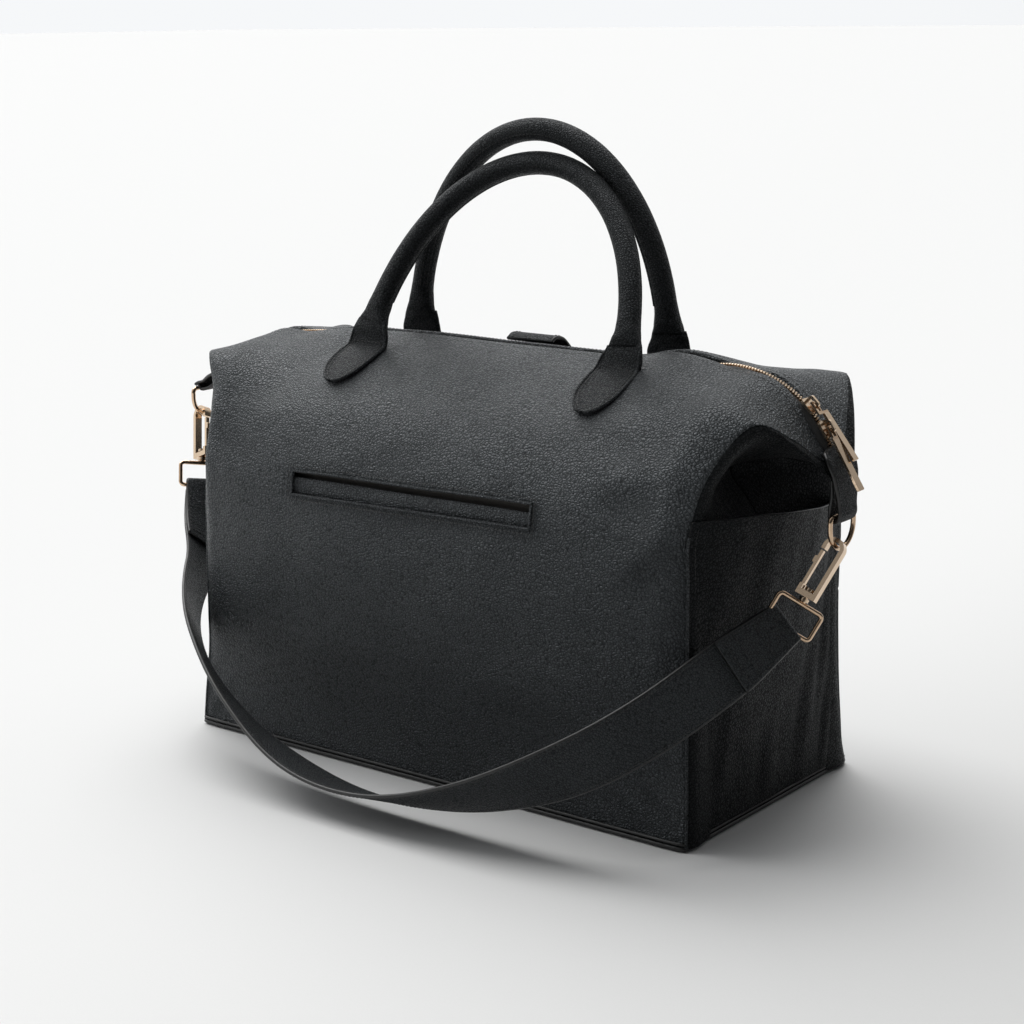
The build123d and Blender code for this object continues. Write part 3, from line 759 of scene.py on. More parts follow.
def make_panel(name, side):
    """Front or back panel: one sheet from the base seam to the lip that turns in along the zip."""
    us = np.linspace(-U_END, U_END, 201)
    vs = np.linspace(0, V_LIP, 171)
    if side < 0:
        us = with_lines(us, WINDOW_U)
        vs = with_lines(vs, WINDOW_V)
    vs = np.concatenate([vs, np.linspace(V_LIP, V_KNOTS[-1], 8)[1:]])
    u, v = np.meshgrid(us, vs)
    if side < 0:
        past = np.maximum(np.abs(u - WINDOW_MIDDLE[0]) - (WINDOW_U[1] - WINDOW_U[0]) / 2, 0)
        dip = bell(past, 9.0) * bell(v - WINDOW_MIDDLE[1], 16.0)
        points = window_point(u, v, dip * 1.2)
    else:
        points = body_point(u, v, side)
    inside_u = (us[:-1] >= WINDOW_U[0] - 0.01) & (us[1:] <= WINDOW_U[1] + 0.01)
    inside_v = (vs[:-1] >= WINDOW_V[0] - 0.01) & (vs[1:] <= WINDOW_V[1] + 0.01)

    def keep(r, c):
        return side > 0 or not (inside_u[c] and inside_v[r])

    faces = grid_faces(len(vs), len(us), flip=side > 0, keep=keep)
    piece = mesh_piece(name + "_leather", points.reshape(-1, 3), faces, [LEATHER], "bag", thickness=2.2)
    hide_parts(name)


make_panel("front_panel", -1)
make_panel("back_panel", 1)


def panel_edge(side_x, side_y, low=0.0, high=V_KNOTS[MOUTH_ROW] - 4.0, out=0.6):
    """Line along the end edge of a panel, just outside the leather."""
    v = np.linspace(low, high, 90)
    u = np.full(90, side_x * U_END)
    return body_point(u, v, side_y) + body_normal(u, v, side_y) * -0.4 + np.array([side_x * out, 0, 0])


def make_seams():
    """Piped seams down the corners, from the base to just below the mouth, and the stitching beside the zip.
    """
    for side_x in (-1, 1):
        for side_y in (-1, 1):
            end = "left" if side_x < 0 else "right"
            face = "front" if side_y < 0 else "back"
            line = panel_edge(side_x, side_y)
            tube(f"seam_piping_{face}_{end}", line, 1.2, LEATHER, "bag", 8)
    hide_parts("side_piping")
    rows = []
    u = np.linspace(-U_END + 1, U_END - 1, 400)
    v = np.full(400, V_LIP - 4.0)
    for side_y in (-1, 1):
        rows.append((body_point(u, v, side_y), body_normal(u, v, side_y)))
    stitches("zip_edge_stitches", rows, "bag", pitch=3.4, stitch=2.5, width=0.5)


make_seams()


# --- Base -----------------------------------------------------------------------------------------


def base_outline(grow, height, count=120):
    """Closed line round the bottom of the bag, a little outside the panels."""
    u = np.linspace(-U_END, U_END, count)
    front = body_point(u, np.zeros(count), -1)
    back = body_point(u[::-1], np.zeros(count), 1)
    front[:, 1] -= grow
    back[:, 1] += grow
    corner = front[-1]
    end_y = np.linspace(corner[1] + 2, -corner[1] - 2, 40)
    right = np.stack([np.full(40, corner[0] + grow), end_y, end_y * 0], axis=1)
    left = right[::-1] * np.array([-1.0, 1.0, 1.0])
    ring = np.concatenate([front, right, back, left])
    ring[:, 2] = height
    return ring


def make_base():
    """Base panel, its double piping and the stitching inside them."""
    low, high = limits("base_panel")
    x, y = np.meshgrid(np.linspace(low[0], high[0], 90), np.linspace(low[1], high[1], 44))
    z = high[2] - 1.8 + 0.5 * wave(np.stack([x, y, x * 0], axis=-1), 60.0, 11.0)
    points = np.stack([x, y, z], axis=-1).reshape(-1, 3)
    base = mesh_piece("base_leather", points, grid_faces(44, 90, flip=True), [LEATHER], "bag", thickness=2.0)
    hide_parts("base_panel")
    lower = tube("base_piping_lower", base_outline(0.4, 2.2), 1.5, EDGE, "bag", 8, closed=True)
    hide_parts("base_piping")
    tube("base_piping_upper", base_outline(0.5, 5.4), 1.1, EDGE, "bag", 8, closed=True)
    inner = np.array([(-1, -1), (1, -1), (1, 1), (-1, 1), (-1, -1)]) * np.array([high[0] - 6, high[1] - 6])
    line = np.concatenate([
        np.linspace(start, end, 60)[:-1] for start, end in zip(inner, inner[1:])
    ])
    line = np.column_stack([line, np.full(len(line), high[2] - 3.9)])
    stitches("base_stitches", [(line, (0, 0, -1))], "bag")


make_base()


# --- Ends: folded gussets and their pockets ---------------------------------------------------------

POCKET_LOW = limits("side_pocket_right")[0]
POCKET_HIGH = limits("side_pocket_right")[1]
POCKET_TOP = POCKET_HIGH[2]


def gusset_point(w, v, side_x):
    """Points of an end wall: w runs from the front seam to the back one, v up the wall."""
    sides = []
    for side_y in (-1, 1):
        u = side_x * (U_END + (1 - np.abs(w)) * (U_TOTAL - U_END))
        sides.append(net_point(u, v, side_y) * np.array([1.0, side_y, 1.0]))
    share = np.clip(0.5 + w * 2.5, 0, 1)[..., None]
    base = sides[0] * (1 - share) + sides[1] * share
    loose = bell(v - V_KNOTS[8], 52.0) * np.clip(1 - np.abs(w), 0, 1)
    base[..., 0] += side_x * loose * 3.4 * wave(base, 30.0, 17.0 + side_x)
    base[..., 0] -= side_x * 0.6 * np.abs(w) ** 6
    return base


POCKET_DROP = [(-1.0, 4.0), (-0.45, 1.0), (0.0, -4.0), (0.5, -10.5), (1.0, -15.0)]


def pocket_edge(side_y, height, side_x):
    """Point of the end seam beside a pocket: where the pocket's edge is sewn, at a height."""
    v = np.linspace(0, V_KNOTS[8], 160)
    line = net_point(np.full(160, side_x * U_END), v, side_y) * np.array([1.0, side_y, 1.0])
    return np.stack([np.interp(height, line[:, 2], line[:, k]) for k in range(2)], axis=-1)


def pocket_bulge(height):
    """How far an end pocket stands off the bag at its middle."""
    share = np.clip((height - POCKET_LOW[2]) / (POCKET_TOP - POCKET_LOW[2]), 0, 1)
    return 1.0 + 9.0 * share + 13.0 * share ** 2.2


POCKET_CREASES = [
    (55, 60, 175, 7.0, 1.9), (30, 20, 120, 9.0, 1.6), (72, 90, 200, 6.0, 1.6), (-20, 10, 60, 9.0, 1.2),
    (-74, 20, 90, 7.0, 1.3), (84, 10, 90, 6.0, 1.6), (5, 120, 205, 11.0, 1.4), (-52, 100, 200, 10.0, 1.2),
    (64, 10, 80, 5.0, 1.5),
]
POCKET_FULLNESS = {1: 1.0, -1: 0.6}


def pocket_point(share, rise, side_x):
    """Points outside an end pocket: share runs from its front edge to its back one, rise up to its mouth."""
    drop = table_at(POCKET_DROP, share.ravel()).reshape(share.shape)
    top = POCKET_TOP + 4.0 + drop
    z = 7.0 + rise * (top - 7.0)
    front = pocket_edge(-1, z, side_x)
    back = pocket_edge(1, z, side_x)
    across = (share + 1) / 2
    y = front[..., 1] * (1 - across) + back[..., 1] * across
    edge_x = side_x * (front[..., 0] * (1 - across) + back[..., 0] * across)
    full = np.clip(1 - share ** 2, 0, 1)
    x = edge_x + 1.0 + POCKET_FULLNESS[side_x] * pocket_bulge(z) * full
    spot = np.stack([x, y, z], axis=-1)
    slack = 1.7 * wave(spot, 46.0, 23.0 + 7 * side_x, (1, 1, 0.45)) + 0.6 * wave(spot, 17.0, 5.0, (1, 1, 0.5))
    for middle, low, high, width, depth in POCKET_CREASES:
        lean = middle * side_x + 0.10 * (z - low) * side_x
        along = bell((z - (low + high) / 2) / (high - low), 0.55)
        slack = slack + depth * along * (0.6 * bell(y - lean - 1.4 * width, width) - bell(y - lean, width))
    x = x + slack * np.clip(full * 3.5, 0, 1)
    return np.stack([side_x * x, y, z], axis=-1)


def make_end(side_x):
    """One end of the bag: gusset, pocket wall with its cut edge, and stitching beside the corners."""
    end = "left" if side_x < 0 else "right"
    w, v = np.meshgrid(np.linspace(-1, 1, 111), np.linspace(0, V_LIP, 141))
    points = gusset_point(w, v, side_x).reshape(-1, 3)
    # The gusset and end pocket wear the shaded copy of the leather, whose darker colour is painted shade.
    wall = mesh_piece(
        f"gusset_leather_{end}", points, grid_faces(141, 111, flip=side_x < 0), [SHADED_END_LEATHER], "bag",
        thickness=1.8,
    )
    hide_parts(f"gusset_{end}")
    share, rise = np.meshgrid(np.linspace(-1, 1, 105), np.linspace(0, 1, 110))
    points = pocket_point(share, rise, side_x)
    pocket = mesh_piece(
        f"side_pocket_leather_{end}", points.reshape(-1, 3), grid_faces(110, 105, flip=side_x < 0),
        [SHADED_END_LEATHER, EDGE], "bag", thickness=2.2,
    )
    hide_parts(f"side_pocket_{end}")
    rows = []
    for side_y in (-1, 1):
        share = np.full(120, side_y * 0.945)
        rows.append((pocket_point(share, np.linspace(0.03, 0.98, 120), side_x), (side_x, side_y * 0.4, 0)))
    stitches(f"side_pocket_stitches_{end}", rows, "bag")


for side_x in (-1, 1):
    make_end(side_x)


# --- Front welt pocket ------------------------------------------------------------------------------


def window_loop(grow, depth):
    """Closed line round the window, grown a little, at a depth below the panel's face."""
    half_u = (WINDOW_U[1] - WINDOW_U[0]) / 2 + grow
    half_v = (WINDOW_V[1] - WINDOW_V[0]) / 2 + grow
    corners = [(-1, -1), (1, -1), (1, 1), (-1, 1), (-1, -1)]
    line = []
    for (a, b), (c, d) in zip(corners, corners[1:]):
        share = np.linspace(0, 1, 90 if a != c else 14)[:-1]
        line.append(np.stack([a + (c - a) * share, b + (d - b) * share], axis=1))
    line = np.concatenate(line) * np.array([half_u, half_v]) + np.array(WINDOW_MIDDLE)
    u, v = line[:, 0], line[:, 1]
    return window_point(u, v, np.full(len(u), depth)), body_normal(u, tilted(u, v))


def make_welt():
    """Welt pocket: window with turned edges, a leather strip inside it and a dark slit above the strip."""
    count = 110
    us = np.linspace(WINDOW_U[0], WINDOW_U[1], count)
    low, high = WINDOW_V
    slit_from = np.interp(us, WINDOW_U, [high - 4.2, high - 6.2])
    rows = []
    depths = [(0.0, 2.8), (0.1, 1.6), (0.5, 1.1), (0.85, 0.9), (0.97, 1.3), (1.0, 2.6), (0.96, 5.6)]
    for share, depth in depths:
        rows.append(window_point(us, low + (slit_from - low) * share, np.full(count, depth + 0.6)))
    strip = mesh_piece("welt_strip", np.concatenate(rows), grid_faces(len(depths), count), [LEATHER], "bag")
    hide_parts("front_welt")
    rim, out = window_loop(0.0, 1.1)
    tube("welt_rim", rim, 1.2, LEATHER, "bag", 8, closed=True)
    line, out = window_loop(3.2, -0.1)
    line = np.concatenate([line, line[:1]])
    out = np.concatenate([out, out[:1]])
    stitches("welt_stitches", [(line, out)], "bag", pitch=3.5, stitch=2.6)
    us = np.linspace(WINDOW_U[0] - 2, WINDOW_U[1] + 2, count)
    rows = []
    for v, depth in ((high + 3, 4.4), (high - 1, 8.0), (high - 8, 11.5), (low - 60, 11.5)):
        rows.append(window_point(us, np.full(count, v), np.full(count, depth)))
    pouch = mesh_piece("pouch_lining", np.concatenate(rows), grid_faces(4, count, flip=True), [LINING], "bag")
    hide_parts("front_pocket_bag")


make_welt()


# --- Handles and their chapes -----------------------------------------------------------------------

HANDLE_SPAN = 113.0
TUBE = 8.0
HINGE_Y, HINGE_Z = 34.0, 299.0
# Side of the bag, lean, height above the hinge and middle of each handle.
HANDLES = {"front": (-1, math.radians(-26.0), 144.0, 7.0), "back": (1, 0.0, 152.5, 1.0)}
# Half width and half thickness of the handle's leather by distance past the hinge, down to the tip.
FOOT_HALF = [
    (-60, 8.2), (-40, 8.2), (-30, 8.6), (-21, 10.4), (-12, 14.0), (-3, 17.0), (8, 18.2), (20, 18.4),
    (30, 17.2), (38, 14.6), (44, 10.8), (47.6, 6.8), (49.5, 2.0),
]
FOOT_THICK = [(-60, 8.0), (-40, 8.0), (-30, 7.8), (-21, 6.8), (-12, 4.2), (-3, 2.3), (8, 1.6), (49.5, 1.3)]
FOOT_LENGTH = FOOT_HALF[-1][0]
COVER_TO = -14.0


def handle_frame(face, points):
    """Carries points of an upright handle (x, depth, height) to its hinge line and leans them."""
    side_y, tilt, _, middle = HANDLES[face]
    x, y, z = points[..., 0], points[..., 1], points[..., 2]
    back = y * math.cos(tilt) - z * math.sin(tilt)
    up = y * math.sin(tilt) + z * math.cos(tilt)
    return np.stack([x + middle, back + side_y * HINGE_Y, up + HINGE_Z], axis=-1)


def foot_line(face, side_x):
    """Middle of one foot of a handle, lying on the panel from the hinge to its tip."""
    side_y, _, _, middle = HANDLES[face]
    v = V_KNOTS[10] - 5.0 - np.linspace(0, FOOT_LENGTH - 6.0, 14)
    u = np.full(len(v), middle + side_x * HANDLE_SPAN)
    return body_point(u, v, side_y) + body_normal(u, v, side_y) * 1.5


def handle_stations(face):
    """Centres, frames and distance past the hinge for a whole handle, from tip to tip."""
    _, _, height, middle = HANDLES[face]
    turn = np.linspace(0, math.pi, 90)
    arch = np.stack([-HANDLE_SPAN * np.cos(turn), turn * 0, height * np.sin(turn)], axis=1)
    arch = handle_frame(face, arch[arch[:, 2] > 7.0])
    line = np.concatenate([foot_line(face, -1)[::-1], arch, foot_line(face, 1)])
    line = spaced(line, pitch=1.5)
    along = lengths(line)
    past = np.maximum(FOOT_LENGTH - along, along - along[-1] + FOOT_LENGTH)
    tangent = unit(np.gradient(line, axis=0))
    plane = handle_frame(face, np.array([0.0, 1.0, 0.0])) - handle_frame(face, np.zeros(3))
    hint = unit(np.cross(plane, tangent))
    hint[past > -8.0] = np.sign(middle - line[past > -8.0, :1]) * np.array([1.0, 0.0, 0.0])
    _, wide, deep = frames(line, hint)
    return line, wide, deep, past


def handle_rings(line, wide, deep, past):
    """Sections of the handle: round, then squeezed flat toward the hinge, and flat on the panel."""
    turn = np.linspace(0, 2 * math.pi, 32, endpoint=False)
    half = table_at(FOOT_HALF, past)[:, None]
    thick = table_at(FOOT_THICK, past)[:, None]
    square = np.interp(past, [-36, -6], [1.0, 0.6])[:, None]
    x = np.sign(np.cos(turn)) * np.abs(np.cos(turn)) ** square * half
    y = np.sign(np.sin(turn)) * np.abs(np.sin(turn)) ** square * thick
    rings = swept(line, wide, deep, np.stack([x, y], axis=-1))
    pinched = bell(past + 16.0, 13.0)[:, None]
    crushed = 1.1 * pinched * wave(rings, 9.0, 6.0, (0.7, 1.0, 1.5)) + 0.15 * wave(rings, 15.0, 2.0)
    return rings + deep[:, None, :] * crushed[..., None]


def make_handle(face):
    """Rolled handle with a ribbed seam, pressed flat at each end into a teardrop sewn to the panel."""
    side_y = HANDLES[face][0]
    body = f"handle_{face}"
    line, wide, deep, past = handle_stations(face)
    rings = handle_rings(line, wide, deep, past)
    arch = np.flatnonzero(past < COVER_TO)
    points, faces = capped(rings[arch[0] - 1:arch[-1] + 2])
    cover = mesh_piece(f"handle_cover_{face}", points, faces, [SMOOTH_LEATHER], body)
    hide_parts(body)
    slope = math.radians(40)
    toward = wide * math.cos(slope) - deep * side_y * math.sin(slope)
    round_part = past < -33.0
    rib = line + toward * (TUBE * 0.86)
    tube(f"handle_rib_{face}", rib[round_part], 2.1, SMOOTH_LEATHER, body, 10, across=(0, 1, 0))
    rows = []
    for turn in (-0.47, 0.47):
        lean = wide * math.cos(slope + turn) - deep * side_y * math.sin(slope + turn)
        rows.append(((line + lean * TUBE)[round_part], lean[round_part]))
    stitches(f"handle_stitches_{face}", rows, body, pitch=3.3, stitch=2.5, width=0.5)
    for side_x in (-1, 1):
        own = (past >= COVER_TO - 1.5) & (np.sign(line[:, 0]) == side_x)
        make_foot(face, side_x, line[own], wide[own], deep[own], past[own], rings[own])


def make_foot(face, side_x, line, wide, deep, past, rings):
    """Flat teardrop under one end of a handle, with its turned edge and its stitching."""
    side_y = HANDLES[face][0]
    name = f"chape_{face}_{'left' if side_x < 0 else 'right'}"
    start = line[np.argmin(np.abs(past + 12.0))]
    end = line[np.argmin(np.abs(past - 7.0))]
    carried = (f"handle_{face}", "bag", start, end)
    points, faces = capped(rings)
    patch = mesh_piece(name + "_leather", points, faces, [SMOOTH_LEATHER], carried)
    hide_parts(name)
    lift = deep * side_y
    half = table_at(FOOT_HALF, past)[:, None]
    thick = table_at(FOOT_THICK, past)[:, None]
    rows = []
    for side in (-1, 1):
        outer = 1.8 if side * np.sign(wide[0, 0]) > 0 else 1.2
        edge = line + wide * side * (half - outer * 0.6) + lift * thick * 0.35
        suffix = "inner" if side > 0 else "outer"
        tube(f"{name}_edge_{suffix}", edge, outer, SMOOTH_LEATHER, carried, 8, across=(0, 0, 1))
        sewn = (past > 1.0) & (past < FOOT_LENGTH - 4.5)
        row = line + wide * side * (half - 4.0) + lift * (thick + 0.1)
        rows.append((row[sewn], lift[sewn]))
    place = np.argmin(np.abs(past - 1.5))
    steps = np.linspace(-1, 1, 20)[:, None]
    row = line[place] + wide[place] * steps * (half[place] - 4.0) + lift[place] * (thick[place] + 0.1)
    rows.append((row, lift[place]))
    stitches(name + "_stitches", rows, carried, pitch=3.1, stitch=2.3, width=0.5)


for face in HANDLES:
    make_handle(face)


# --- Lining ------------------------------------------------------------------------------------------

LINING_HALF = 176.0
LINING_IN = 13.0


def make_lining():
    """Cloth bag inside the leather one: four walls and a floor."""
    us = np.linspace(-LINING_HALF, LINING_HALF, 60)
    vs = np.linspace(10, V_LIP - 18.0, 50)
    u, v = np.meshgrid(us, vs)
    front = body_point(u, v, -1) - body_normal(u, v, -1) * LINING_IN
    back = body_point(u[:, ::-1], v, 1) - body_normal(u[:, ::-1], v, 1) * LINING_IN
    share = np.linspace(0, 1, 12)[1:-1, None]
    right = front[:, -1:] * (1 - share) + back[:, :1] * share
    left = back[:, -1:] * (1 - share) + front[:, :1] * share
    rings = np.concatenate([front, right, back, left], axis=1)
    rings[0, :, 2] = rings[0, :, 2].mean()
    count = rings.shape[1]
    faces = grid_faces(len(vs), count, around=True, flip=True)
    faces.append(tuple(range(count)))
    lining = mesh_piece("lining_cloth", rings.reshape(-1, 3), faces, [LINING], "bag")
    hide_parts("lining")


make_lining()


# --- Zip --------------------------------------------------------------------------------------------

ZIP_TOP = 303.0
ZIP_ARC_X = 188.0
ZIP_RADIUS = 83.0
ZIP_END = math.radians(70.0)
TOOTH_PITCH = 2.2


def zip_line(pitch):
    """Points and outward normals along the zip: an arc, the straight top and an arc."""
    arc = ZIP_RADIUS * ZIP_END
    total = 2 * arc + 2 * ZIP_ARC_X
    at = np.linspace(0, total, int(total / pitch) + 1)
    turn = np.where(at < arc, at / ZIP_RADIUS - ZIP_END, 0.0)
    turn = np.where(at > total - arc, (at - total + arc) / ZIP_RADIUS, turn)
    middle = np.clip(at - arc, 0, 2 * ZIP_ARC_X) - ZIP_ARC_X
    x = middle + ZIP_RADIUS * np.sin(turn)
    z = ZIP_TOP - ZIP_RADIUS * (1 - np.cos(turn))
    normal = np.stack([np.sin(turn), turn * 0, np.cos(turn)], axis=1)
    sag = 8.0 * bell(x + 196.0, 40.0) + 4.5 * np.clip((185.0 - np.abs(x)) / 60.0, 0, 1)
    return np.stack([x, x * 0, z - sag], axis=1), normal


def make_zip():
    """Woven tapes and brass teeth of the two halves."""
    across = np.array([0.0, 1.0, 0.0])
    tooth = [
        (-0.62, -1.6, -0.95), (0.62, -1.6, -0.95), (0.62, 1.1, -0.95), (-0.62, 1.1, -0.95),
        (-0.5, -1.5, 0.95), (0.5, -1.5, 0.95), (0.5, 0.9, 0.95), (-0.5, 0.9, 0.95),
        (-0.3, -1.3, 1.2), (0.3, -1.3, 1.2), (0.3, 0.6, 1.2), (-0.3, 0.6, 1.2),
    ]
    tooth = np.array(tooth)
    tooth_faces = [(3, 2, 1, 0), (8, 9, 10, 11)]
    for level in (0, 4):
        for c in range(4):
            d = (c + 1) % 4
            tooth_faces.append((level + c, level + d, level + 4 + d, level + 4 + c))
    for side_y, face in ((-1, "front"), (1, "back")):
        line, normal = zip_line(3.0)
        rings = []
        for depth, lift in ((1.2, -0.5), (2.4, -0.1), (4.0, 0.0), (5.4, -0.6), (7.6, -2.4)):
            rings.append(line + across * side_y * depth + normal * lift)
        points = np.concatenate(rings)
        faces = grid_faces(len(rings), len(line), flip=side_y < 0)
        tape = mesh_piece(f"tape_{face}", points, faces, [TAPE], "bag", thickness=0.6)
        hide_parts(f"zip_tape_{face}")
        line, normal = zip_line(TOOTH_PITCH / 2)
        places = list(range(0 if side_y < 0 else 1, len(line), 2))
        along = np.cross(across, normal)
        points, faces = [], []
        for index, place in enumerate(places):
            corner = line[place] + tooth[:, :1] * along[place] + tooth[:, 2:] * normal[place]
            corner = corner + (tooth[:, 1:2] * -side_y) * across + across * side_y * 0.8
            points.append(corner)
            order = tooth_faces if side_y < 0 else [f[::-1] for f in tooth_faces]
            faces += [[index * len(tooth) + i for i in f] for f in order]
        chain = mesh_piece(f"teeth_{face}", np.concatenate(points), faces, [GOLD], "bag", sharp=True)
        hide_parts(f"zip_chain_{face}")


make_zip()


# --- End tabs ---------------------------------------------------------------------------------------


def make_end_tab(side_x):
    """Leather tab from the end of the zip down to the ring, folded round the ring's straight bar."""
    end = "left" if side_x < 0 else "right"
    low, high = limits(f"d_ring_{end}")
    middle_y = (low[1] + high[1]) / 2
    bar_x = (low[0] + high[0]) / 2
    bar_z = high[2] - 1.7
    if side_x > 0:
        route = [(262, 256), (269, 250.5), (272.6, 243), (274.6, 231), (275.6, 220), (275.8, bar_z)]
    else:
        route = [(-262, 260), (-268, 259.6), (-276, 258), (-288, 253.5), (-298, 248), (-304, bar_z + 4.2)]
    turn_from = 0.0 if side_x > 0 else math.radians(-90)
    turn = [turn_from + math.radians(45 * step) for step in range(1, 4 if side_x > 0 else 5)]
    radius = 3.6
    if side_x > 0:
        fold = [(bar_x + radius * math.cos(t), bar_z - radius * math.sin(t)) for t in turn]
        under = [(bar_x - 3.4, bar_z + 3), (bar_x - 2.2, bar_z + 12), (bar_x - 2.4, bar_z + 24)]
    else:
        fold = [(bar_x + radius * math.sin(t), bar_z + radius * math.cos(t)) for t in turn]
        under = [(bar_x + 9, bar_z + 0.5), (bar_x + 20, bar_z + 5.6), (bar_x + 30, bar_z + 9)]
    points = np.array([(x, middle_y, z) for x, z in route + fold + under], float)
    line = spaced(points, count=90)
    along = lengths(line)
    wide_half, narrow_half = 17.5, 11.5
    bar_at = along[-1] * len(route) / len(points)
    shape = [(0, 8.0), (3, 13.5), (8, 16.6), (14, wide_half), (26, 15.2), (38, narrow_half + 0.4)]
    half = np.interp(along, [d for d, h in shape] + [bar_at], [h for d, h in shape] + [narrow_half])
    half = np.where(along < 4, np.sqrt(np.clip(1 - (1 - along / 8) ** 2, 0.02, 1)) * 16.5, half)
    tab = ribbon(
        f"end_tab_leather_{end}", line, (0, 1, 0), half, 2.6, "bag", [SMOOTH_LEATHER, EDGE], 0.3, 10
    )
    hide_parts(f"end_tab_{end}")
    _, wide, lift = frames(line, (0, 1, 0))
    if np.mean(lift[:30, 0]) * side_x < 0:
        lift = -lift
    rows = []
    top = (along > 3) & (along < bar_at - 8)
    for side in (-1, 1):
        row = line + wide * (side * (half - 2.8))[:, None] + lift * 1.45
        rows.append((row[top], lift[top]))
    stitches(f"end_tab_stitches_{end}", rows, "bag", pitch=3.1, stitch=2.3, width=0.5)


for side_x in (-1, 1):
    make_end_tab(side_x)


# --- Back pocket and closing tab --------------------------------------------------------------------


def make_back():
    """Slip pocket on the back and the leather tab that rolls over the top edge above it."""
    low, high = limits("back_pocket")
    half = high[0]
    v_low, v_high = row_at(low[2]), row_at(high[2])
    u, v = np.meshgrid(np.linspace(-half, half, 90), np.linspace(v_low, v_high, 60))
    across = np.clip((half - np.abs(u)) / 9.0, 0, 1)
    up = np.clip((v - v_low) / 9.0, 0, 1)
    stand = 1.2 + 5.2 * np.sqrt(across * (2 - across) * up * (2 - up))
    points = body_point(u, v, 1) + body_normal(u, v, 1) * stand[..., None]
    points[..., 1] += 0.6 * wave(points, 40.0, 77.0)
    pocket = mesh_piece(
        "back_pocket_leather", points.reshape(-1, 3), grid_faces(60, 90, flip=True), [LEATHER, EDGE], "bag",
        thickness=1.4,
    )
    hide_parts("back_pocket")
    rows = []
    edges = [((-1, 0), (1, 0)), ((-1, 0), (-1, 1)), ((1, 0), (1, 1)), ((-1, 1), (1, 1))]
    for (a, b), (c, d) in edges:
        share = np.linspace(0, 1, 120)
        uu = (a + (c - a) * share) * (half - 3.4)
        vv = v_low + 3.4 + (b + (d - b) * share) * (v_high - v_low - 8)
        across = np.clip((half - np.abs(uu)) / 9.0, 0, 1)
        up = np.clip((vv - v_low) / 9.0, 0, 1)
        stand = 1.2 + 5.2 * np.sqrt(across * (2 - across) * up * (2 - up))
        spot = body_point(uu, vv, 1) + body_normal(uu, vv, 1) * stand[:, None]
        spot[:, 1] += 0.6 * wave(spot, 40.0, 77.0)
        rows.append((spot, body_normal(uu, vv, 1)))
    stitches("back_pocket_stitches", rows, "bag")
    low, high = limits("back_tab")
    middle = (low[0] + high[0]) / 2
    route = [
        (36, 298.4), (41, 301.2), (48, 300.6), (62.5, 289.6), (80, 278.2), (95.8, 265.6), (107, 252),
        (114.5, 237.6), (118, 226), (119.4, 215.5),
    ]
    line = spaced([(middle, y, z) for y, z in route], count=70)
    away = lengths(line)[-1] - lengths(line)
    half = np.full(70, (high[0] - low[0]) / 2 * 0.84)
    half = np.where(away < 10, half - 10 + np.sqrt(np.clip(100 - (10 - away) ** 2, 0, None)), half)
    finish = [SMOOTH_LEATHER, EDGE]
    tab = ribbon("closing_tab_leather", line, (1, 0, 0), half, 2.6, "closing_tab", finish, 0.2)
    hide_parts("back_tab")
    _, wide, lift = frames(line, (1, 0, 0))
    if np.mean(lift[:, 1]) < 0:
        lift = -lift
    rows = []
    for side in (-1, 1):
        row = line + wide * (side * (half - 3.0))[:, None] + lift * 1.45
        rows.append((row[4:-3], lift[4:-3]))
    stitches("closing_tab_stitches", rows, "closing_tab")


make_back()


# --- Shoulder strap ---------------------------------------------------------------------------------

STRAP_ROUTE = [
    (251.7, -38.3, 143.9), (246, -88, 128), (212, -146, 90), (156, -170, 55), (83, -180, 26), (8, -184, 14),
    (-69, -178, 24), (-150, -160, 58), (-221, -121, 92), (-263, -56, 126), (-281, -37, 169.3),
]
STRAP_WIDTH = 40.0
STRAP_THICK = 3.0
# Direction across the strap at even steps along it: it twists as it hangs.
STRAP_ACROSS = [
    (0.58, 0.58, -0.57), (0.5, 0.3, -0.8), (0.4, 0.3, -0.9), (0.2, 0.7, -0.7), (0.0, 0.9, -0.4),
    (0.0, 0.95, -0.3), (-0.1, 0.8, -0.6), (-0.1, 0.5, -0.8), (0.0, 0.5, -0.9), (0.59, 0.8, -0.1),
]


def strap_path():
    """Smooth centre line of the strap, read from its own spline, in millimetres."""
    data = bpy.data.curves.new("strap_route", "CURVE")
    data.dimensions = "3D"
    data.resolution_u = 16
    spline = data.splines.new("NURBS")
    spline.points.add(len(STRAP_ROUTE) - 1)
    for point, place in zip(spline.points, STRAP_ROUTE):
        point.co = (place[0] * MM, place[1] * MM, place[2] * MM, 1.0)
    spline.order_u = 3
    spline.use_endpoint_u = True
    holder = bpy.data.objects.new("strap_route", data)
    mesh = bpy.data.meshes.new_from_object(holder)
    points = np.array([vertex.co for vertex in mesh.vertices]) / MM
    bpy.data.objects.remove(holder)
    bpy.data.meshes.remove(mesh)
    return points


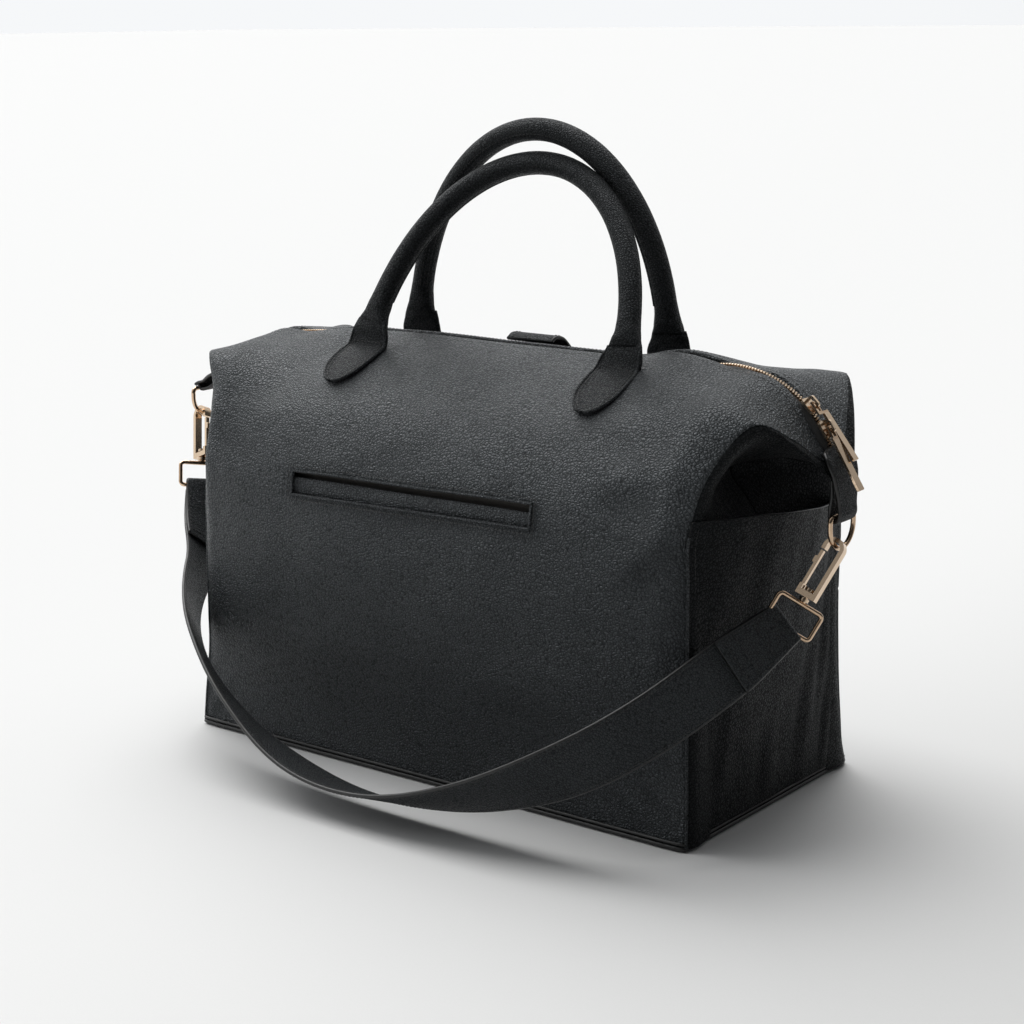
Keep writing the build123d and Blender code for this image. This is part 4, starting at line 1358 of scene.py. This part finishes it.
def make_strap_end(end, points, wides, lifts, halves):
    """End of the strap folded round the loop's bar and sewn back on itself."""
    outer = 1 if np.mean(lifts[:, 1]) < 0 else -1
    ahead = unit(points[0] - points[3])
    turn = np.radians(np.linspace(80, -90, 9))[:, None]
    bend = points[0] + 3.3 * (np.cos(turn) * ahead + np.sin(turn) * lifts[0] * outer)
    fold = points[2:] + lifts[2:] * outer * 2.6
    middle = np.concatenate([fold[::-1], bend, points[3:4]])
    across = np.concatenate([wides[2:][::-1], np.repeat(wides[:1], len(bend) + 1, axis=0)])
    half = np.concatenate([halves[2:][::-1], np.full(len(bend) + 1, halves[0])]) - 0.4
    pieces = [ribbon(
        f"strap_fold_{end}", middle, across, half, 2.4, "strap", [STRAP_LEATHER, EDGE], 0.1, 14
    )]
    rows = []
    for place in (8, 14, 17):
        steps = np.linspace(-1, 1, 24)[:, None]
        row = points[place] + wides[place] * steps * (halves[place] - 4) + lifts[place] * outer * 3.9
        rows.append((row, lifts[place] * outer))
    for side in (-1, 1):
        row = points + wides * (side * (halves - 3.2))[:, None] + lifts * outer * 3.9
        rows.append((row[3:-1], (lifts * outer)[3:-1]))
    pieces.append(stitches(f"strap_fold_stitches_{end}", rows, "strap", pitch=3.4, stitch=2.6))
    return pieces


def make_strap():
    """Flat leather strap, stitched along both edges, with a folded and stitched loop at each end."""
    path = strap_path()
    line = spaced(path, count=260)
    share = np.linspace(0, 1, len(line))
    across = unit(smooth(STRAP_ACROSS, np.linspace(0, 1, len(STRAP_ACROSS)), share))
    along = lengths(line)
    near_end = np.minimum(along, along[-1] - along)
    half = np.interp(near_end, [0, 3, 46, 60], [15.2, 15.4, 19.6, STRAP_WIDTH / 2])
    _, wide, lift = frames(line, across)
    shown = near_end > 3.0
    strap = ribbon(
        "strap_leather", line[shown], wide[shown], half[shown], STRAP_THICK, "strap", [STRAP_LEATHER, EDGE],
        0.15, 14,
    )
    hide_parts("shoulder_strap")
    rows = []
    for face in (-1, 1):
        for side in (-1, 1):
            row = line + wide * (side * (half - 3.0))[:, None] + lift * face * 1.52
            rows.append((row[3:-3], lift[3:-3] * face))
    extras = [stitches("strap_stitches", rows, "strap", pitch=3.6, stitch=2.8)]
    for end, order in (("right", 1), ("left", -1)):
        ends = [values[::order][:20] for values in (line, wide, lift, half)]
        extras += make_strap_end(end, *ends)


make_strap()


# --- Metal and hidden parts -------------------------------------------------------------------------

NODE_FINISH = {
    GOLD: ["base_feet", "d_ring_left", "d_ring_right", "hook_left", "hook_right", "hook_gate_left",
           "hook_gate_right", "strap_loop_left", "strap_loop_right", "zip_slider_a", "zip_slider_b",
           "zip_pull_a", "zip_pull_b"],
    LINING: ["inner_pocket_front", "inner_pocket_back"],
    BOARD: ["base_board"],
    ROPE: ["handle_core_front", "handle_core_back"],
}


def finish_nodes():
    """Gives the CAD's own metal and hidden parts their finishes."""
    for finish, names in NODE_FINISH.items():
        for name in names:
            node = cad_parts[name]
            for slot in node.material_slots:
                slot.material = finish


finish_nodes()


# --- Floor and light --------------------------------------------------------------------------------


DARK_SIDE = 0.05
BRIGHT_SIDE = 0.95
LIGHT_FROM = Vector((-0.62, 0.3, 1.0))


def make_surround():
    """White studio: bright behind the bag, dark round the camera, pale overhead."""
    world = bpy.data.worlds.new("surround")
    world.use_nodes = True
    tree = world.node_tree
    background = tree.nodes["Background"]
    place = tree.nodes.new("ShaderNodeTexCoord").outputs["Generated"]
    ahead = tree.nodes.new("ShaderNodeVectorMath")
    ahead.operation = "DOT_PRODUCT"
    tree.links.new(place, ahead.inputs[0])
    ahead.inputs[1].default_value = (-0.92, 0.4, 0.3)
    level = tree.nodes.new("ShaderNodeMapRange")
    level.interpolation_type = "SMOOTHSTEP"
    tree.links.new(ahead.outputs["Value"], level.inputs["Value"])
    ramp = {"From Min": -0.45, "From Max": 0.85, "To Min": DARK_SIDE, "To Max": BRIGHT_SIDE}
    for name, value in ramp.items():
        level.inputs[name].default_value = value
    tree.links.new(level.outputs["Result"], background.inputs["Strength"])
    background.inputs["Color"].default_value = (0.97, 0.985, 1.0, 1.0)
    bpy.context.scene.world = world



def make_studio():
    """Pale seamless floor under one very broad light, high on the left."""
    mesh = bpy.data.meshes.new("floor")
    corners = [(-60, -60, 0), (60, -60, 0), (60, 60, 0), (-60, 60, 0)]
    mesh.from_pydata(corners, [], [(0, 1, 2, 3)])
    mesh.materials.append(paper_white())
    floor = bpy.data.objects.new("floor", mesh)
    bpy.context.scene.collection.objects.link(floor)
    make_surround()
    data = bpy.data.lights.new("broad_light", "SUN")
    data.energy = 2.8
    data.angle = math.radians(62)
    data.color = (1.0, 0.995, 0.985)
    light = bpy.data.objects.new("broad_light", data)
    light.rotation_euler = LIGHT_FROM.to_track_quat("Z", "Y").to_euler()
    bpy.context.scene.collection.objects.link(light)
    bpy.context.scene.view_settings.view_transform = "Standard"


make_studio()
